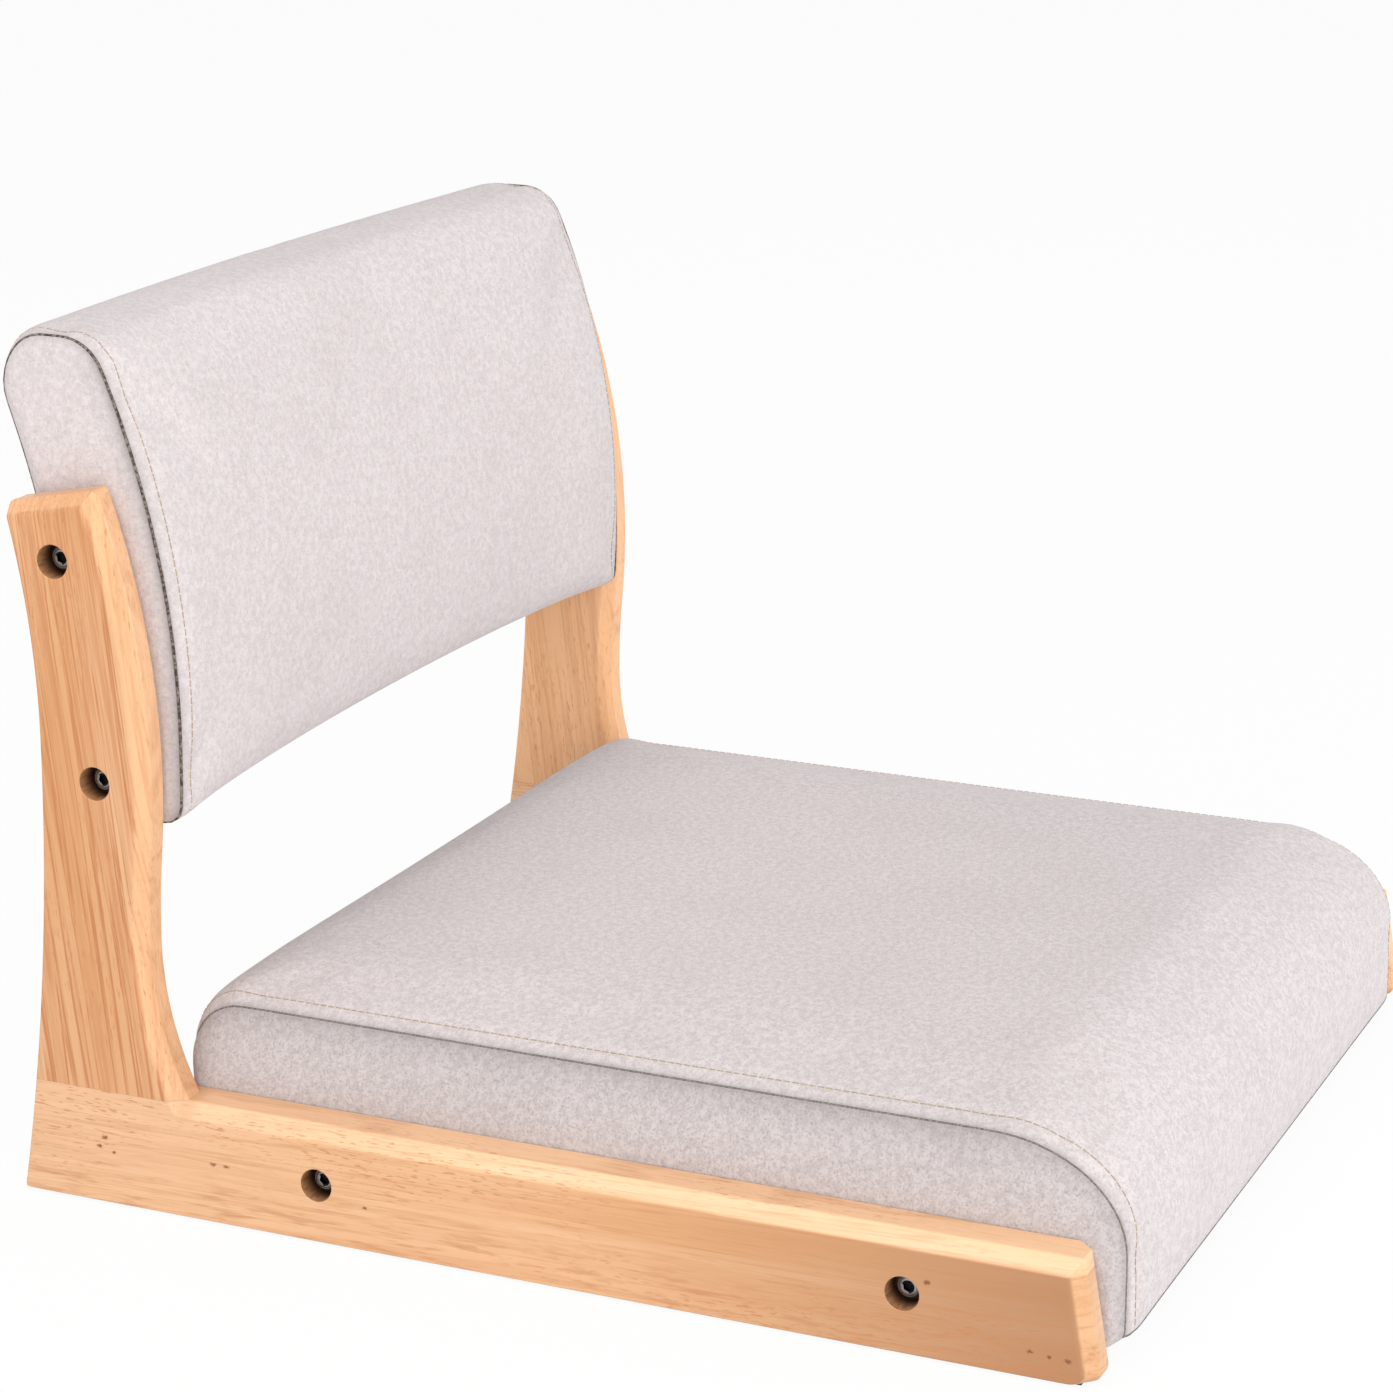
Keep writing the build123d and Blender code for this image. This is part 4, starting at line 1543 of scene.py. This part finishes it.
@dataclass
class SunkBolts:
    """The button-head socket bolts of one side and the washers under them."""

    side: Side
    washer_seat: float = 245.5 * MM
    head_seat: float = 246.7 * MM
    head_radius: float = 5.4 * MM
    head_height: float = 3.3 * MM
    socket_across: float = 4.0 * MM
    socket_depth: float = 2.0 * MM
    shank_radius: float = 2.9 * MM
    shank_length: float = 34.0 * MM
    washer_radius: float = 7.2 * MM
    washer_hole: float = 3.3 * MM
    washer_ease: float = 0.2 * MM
    # How far out the painted highlight on the rim starts and how far in the painted shade of the socket
    # reaches.
    dome: float = 0.72
    rim_share: float = 0.80
    pit_share: float = 0.52
    hair: float = 0.1 * MM
    sharp: float = math.radians(40.0)
    smooth: float = math.radians(32.0)
    first_turn: float = math.radians(17.0)
    next_turn: float = math.radians(23.0)

    def bolt(self) -> bpy.types.Object:
        """One bolt along Z: a domed head with a six-sided socket, on its shank.

        Returns:
            The bolt, its head's underside at the origin.
        """
        bolt = cylinder(36, self.head_radius, self.head_height, self.head_height / 2)
        settle(bolt)
        pick_faces(bolt, lambda face: face.normal.z > 0.9)
        bpy.ops.mesh.bevel(offset=self.head_height * self.dome, segments=6, affect="EDGES")
        bpy.ops.object.mode_set(mode="OBJECT")
        pick_faces(bolt, lambda face: face.normal.z < -0.9 and len(face.vertices) > 8)
        bpy.ops.mesh.inset(thickness=self.head_radius - self.shank_radius)
        bpy.ops.mesh.extrude_region_move(TRANSFORM_OT_translate={"value": (0, 0, -self.shank_length)})
        bpy.ops.object.mode_set(mode="OBJECT")
        key = cylinder(6, self.socket_across / math.sqrt(3), self.socket_depth * 2, self.head_height)
        cut = bolt.modifiers.new("socket", "BOOLEAN")
        cut.operation = "DIFFERENCE"
        cut.solver = "EXACT"
        cut.object = key
        apply_modifiers(bolt)
        bpy.data.objects.remove(key)
        activate(bolt)
        bpy.ops.object.shade_smooth_by_angle(angle=self.smooth)
        pit_floor = self.head_height - self.socket_depth
        # The rim of the head gets painted highlight and the socket painted shade, as materials 1 and 2.
        for face in bolt.data.polygons:
            out = math.hypot(face.center.x, face.center.y)
            rim = face.center.z > self.hair and out > self.head_radius * self.rim_share
            pit = face.center.z > pit_floor - self.hair and out < self.socket_across * self.pit_share
            face.material_index = 1 if rim else 2 if pit else 0
        return bolt

    def washer(self) -> bpy.types.Object:
        """One flat washer along Z with eased rims, its underside at the origin.

        Returns:
            The washer.
        """
        thick = self.head_seat - self.washer_seat
        washer = cylinder(40, self.washer_radius, thick, thick / 2)
        settle(washer)
        pick_faces(washer, lambda face: abs(face.normal.z) > 0.9)
        bpy.ops.mesh.inset(thickness=self.washer_radius - self.washer_hole)
        bpy.ops.mesh.bridge_edge_loops()
        bpy.ops.object.mode_set(mode="OBJECT")
        rims = washer.modifiers.new("rims", "BEVEL")
        rims.width = self.washer_ease
        rims.segments = 2
        rims.angle_limit = self.sharp
        apply_modifiers(washer)
        bpy.ops.object.shade_smooth_by_angle(angle=self.smooth)
        return washer

    def placed(
        self, model: bpy.types.Object, seat: float, places: tuple[Place, ...], name: str
    ) -> bpy.types.Object:
        """Copies a model to each place, turned to face outwards, and joins the copies.

        Args:
            model: the bolt or washer along Z.
            seat: how far from the middle its underside sits.
            places: side view places.
            name: the name of the group.

        Returns:
            The group as one mesh.
        """
        copies = []
        turn = Matrix.Rotation(self.side.sign * math.pi / 2, 4, "Y")
        for index, place in enumerate(places):
            mesh = model.data.copy()
            spin = Matrix.Rotation(self.first_turn + self.next_turn * index, 4, "Z")
            mesh.transform(Matrix.Translation(in_space(self.side.sign * seat, place)) @ turn @ spin)
            copy = bpy.data.objects.new(f"{name}_{index}", mesh)
            bpy.context.scene.collection.objects.link(copy)
            copies.append(copy)
        return join(copies, name)

    def build(self, steels: list[bpy.types.Material], zinc: bpy.types.Material) -> list[bpy.types.Object]:
        """Builds and dresses this side's bolts and washers.

        Args:
            steels: the materials of the bolts' heads, of their rims with painted highlight and of their sockets
                with painted shade.
            zinc: the washers' material, dark with painted shade.

        Returns:
            The four groups.
        """
        made = []
        bolt, washer = self.bolt(), self.washer()
        for model, materials in ((bolt, steels), (washer, [zinc])):
            for material in materials:
                model.data.materials.append(material)
        for word, places in (("seat", SEAT_BOLTS), ("back", BACK_BOLTS)):
            for kind, model, seat in (("bolts", bolt, self.head_seat), ("washers", washer, self.washer_seat)):
                node = f"{self.side.prefix}_{word}_{kind}"
                group = self.placed(model, seat, places, f"{node}_turned")
                enlist(group, "dark_steel" if kind == "bolts" else "zinc", node)
                made.append(group)
        bpy.data.objects.remove(bolt)
        bpy.data.objects.remove(washer)
        return made


@dataclass
class Core:
    """The CAD nodes that stay: felt feet, dust cover and the inner frame."""

    slots: dict[str, str]

    def finishes(self) -> dict[str, Any]:
        """One finish for each slot that stays on CAD nodes.

        Returns:
            The finishes by slot.
        """
        return {
            "core_wood": PlyFinish("core_wood", (0.62, 0.44, 0.27, 1.0), (0.48, 0.31, 0.17, 1.0)),
            "plywood": PlyFinish("plywood", (0.66, 0.48, 0.30, 1.0), (0.46, 0.30, 0.17, 1.0), 60.0),
            "lining": FleeceFinish(
                "dust_cover_fleece",
                (0.30, 0.29, 0.285, 1.0),
                (0.20, 0.195, 0.19, 1.0),
                fibre_scale=700.0,
                dot_scale=420.0,
            ),
            "felt": FleeceFinish("foot_felt", (0.15, 0.115, 0.09, 1.0), (0.08, 0.06, 0.045, 1.0), 900.0),
            "zinc": MetalFinish("insert_zinc", (0.62, 0.60, 0.55, 1.0), (0.45, 0.43, 0.39, 1.0), 0.4),
        }

    def dress(self, nodes: dict[str, bpy.types.Object]) -> list[str]:
        """Gives every node that is still shown its material.

        Args:
            nodes: the CAD nodes by name.

        Returns:
            The names of the dressed nodes.
        """
        made = {slot: finish.material() for slot, finish in self.finishes().items()}
        shown = [name for name, node in sorted(nodes.items()) if not node.hide_render]
        for name in shown:
            cover(nodes[name], made[self.slots[name]])
        return shown


@dataclass(frozen=True)
class Lamp:
    """A soft square lamp, cooler where the tint of its red is less than 1."""

    name: str
    place: tuple[float, float, float]
    size: float
    power: float
    tint: float = 1.0
    target: tuple[float, float, float] = (0.0, 0.0, 0.15)

    def build(self) -> None:
        """Hangs the lamp, turned to the middle of the chair."""
        data = bpy.data.lights.new(self.name, "AREA")
        data.shape = "SQUARE"
        data.size = self.size
        data.energy = self.power
        data.color = (self.tint, (1.0 + self.tint) / 2, 1.0)
        lamp = bpy.data.objects.new(self.name, data)
        bpy.context.scene.collection.objects.link(lamp)
        lamp.location = self.place
        lamp.rotation_mode = "QUATERNION"
        lamp.rotation_quaternion = (Vector(self.target) - Vector(self.place)).to_track_quat("-Z", "Y")


@dataclass
class Studio:
    """White floor and surround, soft lamps, and the camera where the photograph was taken from."""

    eye: Vector
    right: Vector
    up: Vector
    forward: Vector
    lens: float = 100.5
    sensor: float = 36.0
    surround_light: Colour = (1.0, 0.99, 0.985, 1.0)
    surround_strength: float = 0.50
    floor_size: float = 14.0
    floor_grey: Colour = (0.86, 0.86, 0.86, 1.0)
    floor_glow: float = 0.94
    lamps: tuple[Lamp, ...] = (
        Lamp("front_lamp", (1.2, -2.8, 0.65), 2.0, 55.0, 0.94),
        Lamp("eye_lamp", (-2.3, -1.2, 0.7), 1.4, 29.0),
        Lamp("side_lamp", (-1.7, -0.1, 2.3), 2.0, 28.0),
        Lamp("rear_lamp", (-1.1, 1.1, 2.7), 0.9, 12.0),
    )

    def camera(self) -> None:
        """Puts the camera at the photograph's place."""
        data = bpy.data.cameras.new("photo_camera")
        data.lens = self.lens
        data.sensor_width = self.sensor
        data.sensor_fit = "HORIZONTAL"
        data.clip_start = 0.05
        data.clip_end = 60.0
        camera = bpy.data.objects.new("photo_camera", data)
        bpy.context.scene.collection.objects.link(camera)
        turn = Matrix((self.right, self.up, -self.forward)).transposed().to_4x4()
        camera.matrix_world = Matrix.Translation(self.eye) @ turn
        bpy.context.scene.camera = camera

    def seen_or_mirrored(self, tree: bpy.types.NodeTree) -> bpy.types.NodeSocket:
        """1 for rays from the camera or off gloss and glass, and 0 for light.

        Args:
            tree: the node tree to add to.

        Returns:
            The value's output socket.
        """
        path = tree.nodes.new("ShaderNodeLightPath")
        total = path.outputs["Is Camera Ray"]
        for word in ("Is Glossy Ray", "Is Transmission Ray"):
            either = tree.nodes.new("ShaderNodeMath")
            either.operation = "MAXIMUM"
            tree.links.new(total, either.inputs[0])
            tree.links.new(path.outputs[word], either.inputs[1])
            total = either.outputs[0]
        return total

    def blend(
        self, tree: bpy.types.NodeTree, amount: Any, shaders: list[bpy.types.Node], output: str
    ) -> None:
        """Mixes two shaders by an amount on to the tree's output.

        Args:
            tree: the node tree to add to.
            amount: the output socket of the amount.
            shaders: the shader at 0 and the shader at 1.
            output: the name of the output node.
        """
        mix = tree.nodes.new("ShaderNodeMixShader")
        for socket, source in zip(mix.inputs, [amount] + [shader.outputs[0] for shader in shaders]):
            tree.links.new(source, socket)
        tree.links.new(mix.outputs[0], tree.nodes[output].inputs["Surface"])

    def surround(self) -> None:
        """A white world that lights softly and is seen as plain white."""
        world = bpy.data.worlds.new("white_surround")
        bpy.context.scene.world = world
        world.use_nodes = True
        tree = world.node_tree
        light = tree.nodes["Background"]
        light.inputs["Color"].default_value = self.surround_light
        light.inputs["Strength"].default_value = self.surround_strength
        white = tree.nodes.new("ShaderNodeBackground")
        white.inputs["Color"].default_value = (1.0, 1.0, 1.0, 1.0)
        white.inputs["Strength"].default_value = 1.0
        self.blend(tree, self.seen_or_mirrored(tree), [light, white], "World Output")

    def floor(self) -> None:
        """A white floor that keeps a faint shadow."""
        deselect_all()
        bpy.ops.mesh.primitive_plane_add(size=self.floor_size)
        floor = bpy.context.object
        floor.name = "studio_floor"
        material = bpy.data.materials.new("studio_white")
        material.use_nodes = True
        tree = material.node_tree
        shader = tree.nodes["Principled BSDF"]
        shader.inputs["Base Color"].default_value = self.floor_grey
        shader.inputs["Roughness"].default_value = 1.0
        shader.inputs["Specular IOR Level"].default_value = 0.0
        glow = tree.nodes.new("ShaderNodeEmission")
        glow.inputs["Strength"].default_value = 1.0
        share = tree.nodes.new("ShaderNodeMath")
        share.operation = "MULTIPLY"
        share.inputs[1].default_value = self.floor_glow
        tree.links.new(self.seen_or_mirrored(tree), share.inputs[0])
        self.blend(tree, share.outputs[0], [shader, glow], "Material Output")
        floor.data.materials.append(material)

    def build(self) -> None:
        """Sets up the whole studio."""
        bpy.context.scene.view_settings.view_transform = "Standard"
        self.camera()
        self.surround()
        self.floor()
        for lamp in self.lamps:
            lamp.build()


def main() -> None:
    """Builds the dressed chair piece by piece."""
    logging.basicConfig(level=logging.INFO, format="%(message)s")
    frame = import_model()
    nodes = frame["nodes"]
    slots = {part["node"]: part["material_slot"] for part in frame["record"]["subparts"]}
    seat_top = SuedeFinish("seat_suede", speckle=0.9).material()
    back_top = SuedeFinish("back_suede", speckle=0.65).material()
    # Painted light and shade: the side panels get copies of the same cloth, darker on the seat and a little
    # lighter on the back.
    seat_side_shaded_tones = [toned(tone, 0.82) for tone in NAP_TONES]
    back_side_lit_tones = [toned(tone, 1.02) for tone in NAP_TONES]
    seat_side = SuedeFinish("seat_side_suede_painted_shade", *seat_side_shaded_tones, painted_fold_shade=0.45).material()
    back_side = SuedeFinish("back_side_suede_painted_light", *back_side_lit_tones, painted_fold_shade=0.8, speckle=0.65).material()
    # The seam cords' dark colours are partly thread and partly painted shade of the seams' grooves.
    seat_cord = ThreadFinish("seat_seam_cord", (0.130, 0.110, 0.104, 1.0), (0.300, 0.262, 0.250, 1.0))
    back_cord = ThreadFinish("back_seam_cord", (0.045, 0.034, 0.028, 1.0), (0.260, 0.212, 0.186, 1.0), 620.0)
    thread = ThreadFinish("tan_thread", (0.480, 0.365, 0.262, 1.0), (0.350, 0.255, 0.178, 1.0)).material()
    metals = (
        MetalFinish("dark_steel", (0.340, 0.340, 0.345, 1.0), (0.480, 0.478, 0.475, 1.0), 0.42),
        # Painted highlight on the bolts' rims.
        MetalFinish("painted_highlight_rim_steel", (0.960, 0.945, 0.920, 1.0), (0.780, 0.765, 0.740, 1.0), 0.48),
        # Painted shade in the bolts' sockets.
        MetalFinish("painted_shade_socket_steel", (0.012, 0.012, 0.012, 1.0), (0.030, 0.029, 0.028, 1.0), 0.55),
        # Painted shade: the washers are made dark, as they lie in the shadow of the bolt holes.
        MetalFinish("washer_painted_shade", (0.120, 0.085, 0.060, 1.0), (0.080, 0.058, 0.044, 1.0), 0.45),
    )
    *steels, zinc = [metal.material() for metal in metals]
    made: list[bpy.types.Object] = []
    for side in Side:
        made += SideFrame(side).build(nodes)
        made += SunkBolts(side).build(steels, zinc)
    seat = SeatPad(
        name="seat_pad",
        seam_half=222.2 * MM,
        side_half=234.1 * MM,
        side_counts=(10, 60, 7, 24),
        corner_counts=(8, 14, 3, 3),
        nodes=("seat_foam", "seat_middle_panel", "right_seat_side_panel", "left_seat_side_panel"),
        fill=0.85,
        pinned_below=11.0 * MM,
    )
    back = BackPad(
        name="back_pad",
        seam_half=231.2 * MM,
        side_half=234.1 * MM,
        side_counts=(30, 4, 30, 7),
        corner_counts=(9, 8, 4, 4),
        nodes=("back_foam", "back_middle_panel", "right_back_side_panel", "left_back_side_panel"),
        fill=0.85,
        pinned_below=0.0,
        seam_radius=0.85 * MM,
        shade_reach=5.0 * MM,
        shade_above=0.3,
    )
    made += seat.build(seat_top, seat_side, seat_cord.material(), thread)
    made += back.build(back_top, back_side, back_cord.material(), thread)
    for piece in made:
        LOG.info("%s: %d faces", piece.name, len(piece.data.polygons))
    LOG.info("dressed nodes: %s", ", ".join(Core(slots).dress(nodes)))
    Studio(
        eye=Vector((-1655.8 * MM, ORIGIN_FORWARD - 953.5 * MM, 726.7 * MM)),
        right=Vector((0.4021, -0.9156, 0.0)),
        up=Vector((0.2579, 0.1133, 0.9595)),
        forward=Vector((0.8785, 0.3858, -0.2817)),
    ).build()


if __name__ == "__main__":
    main()
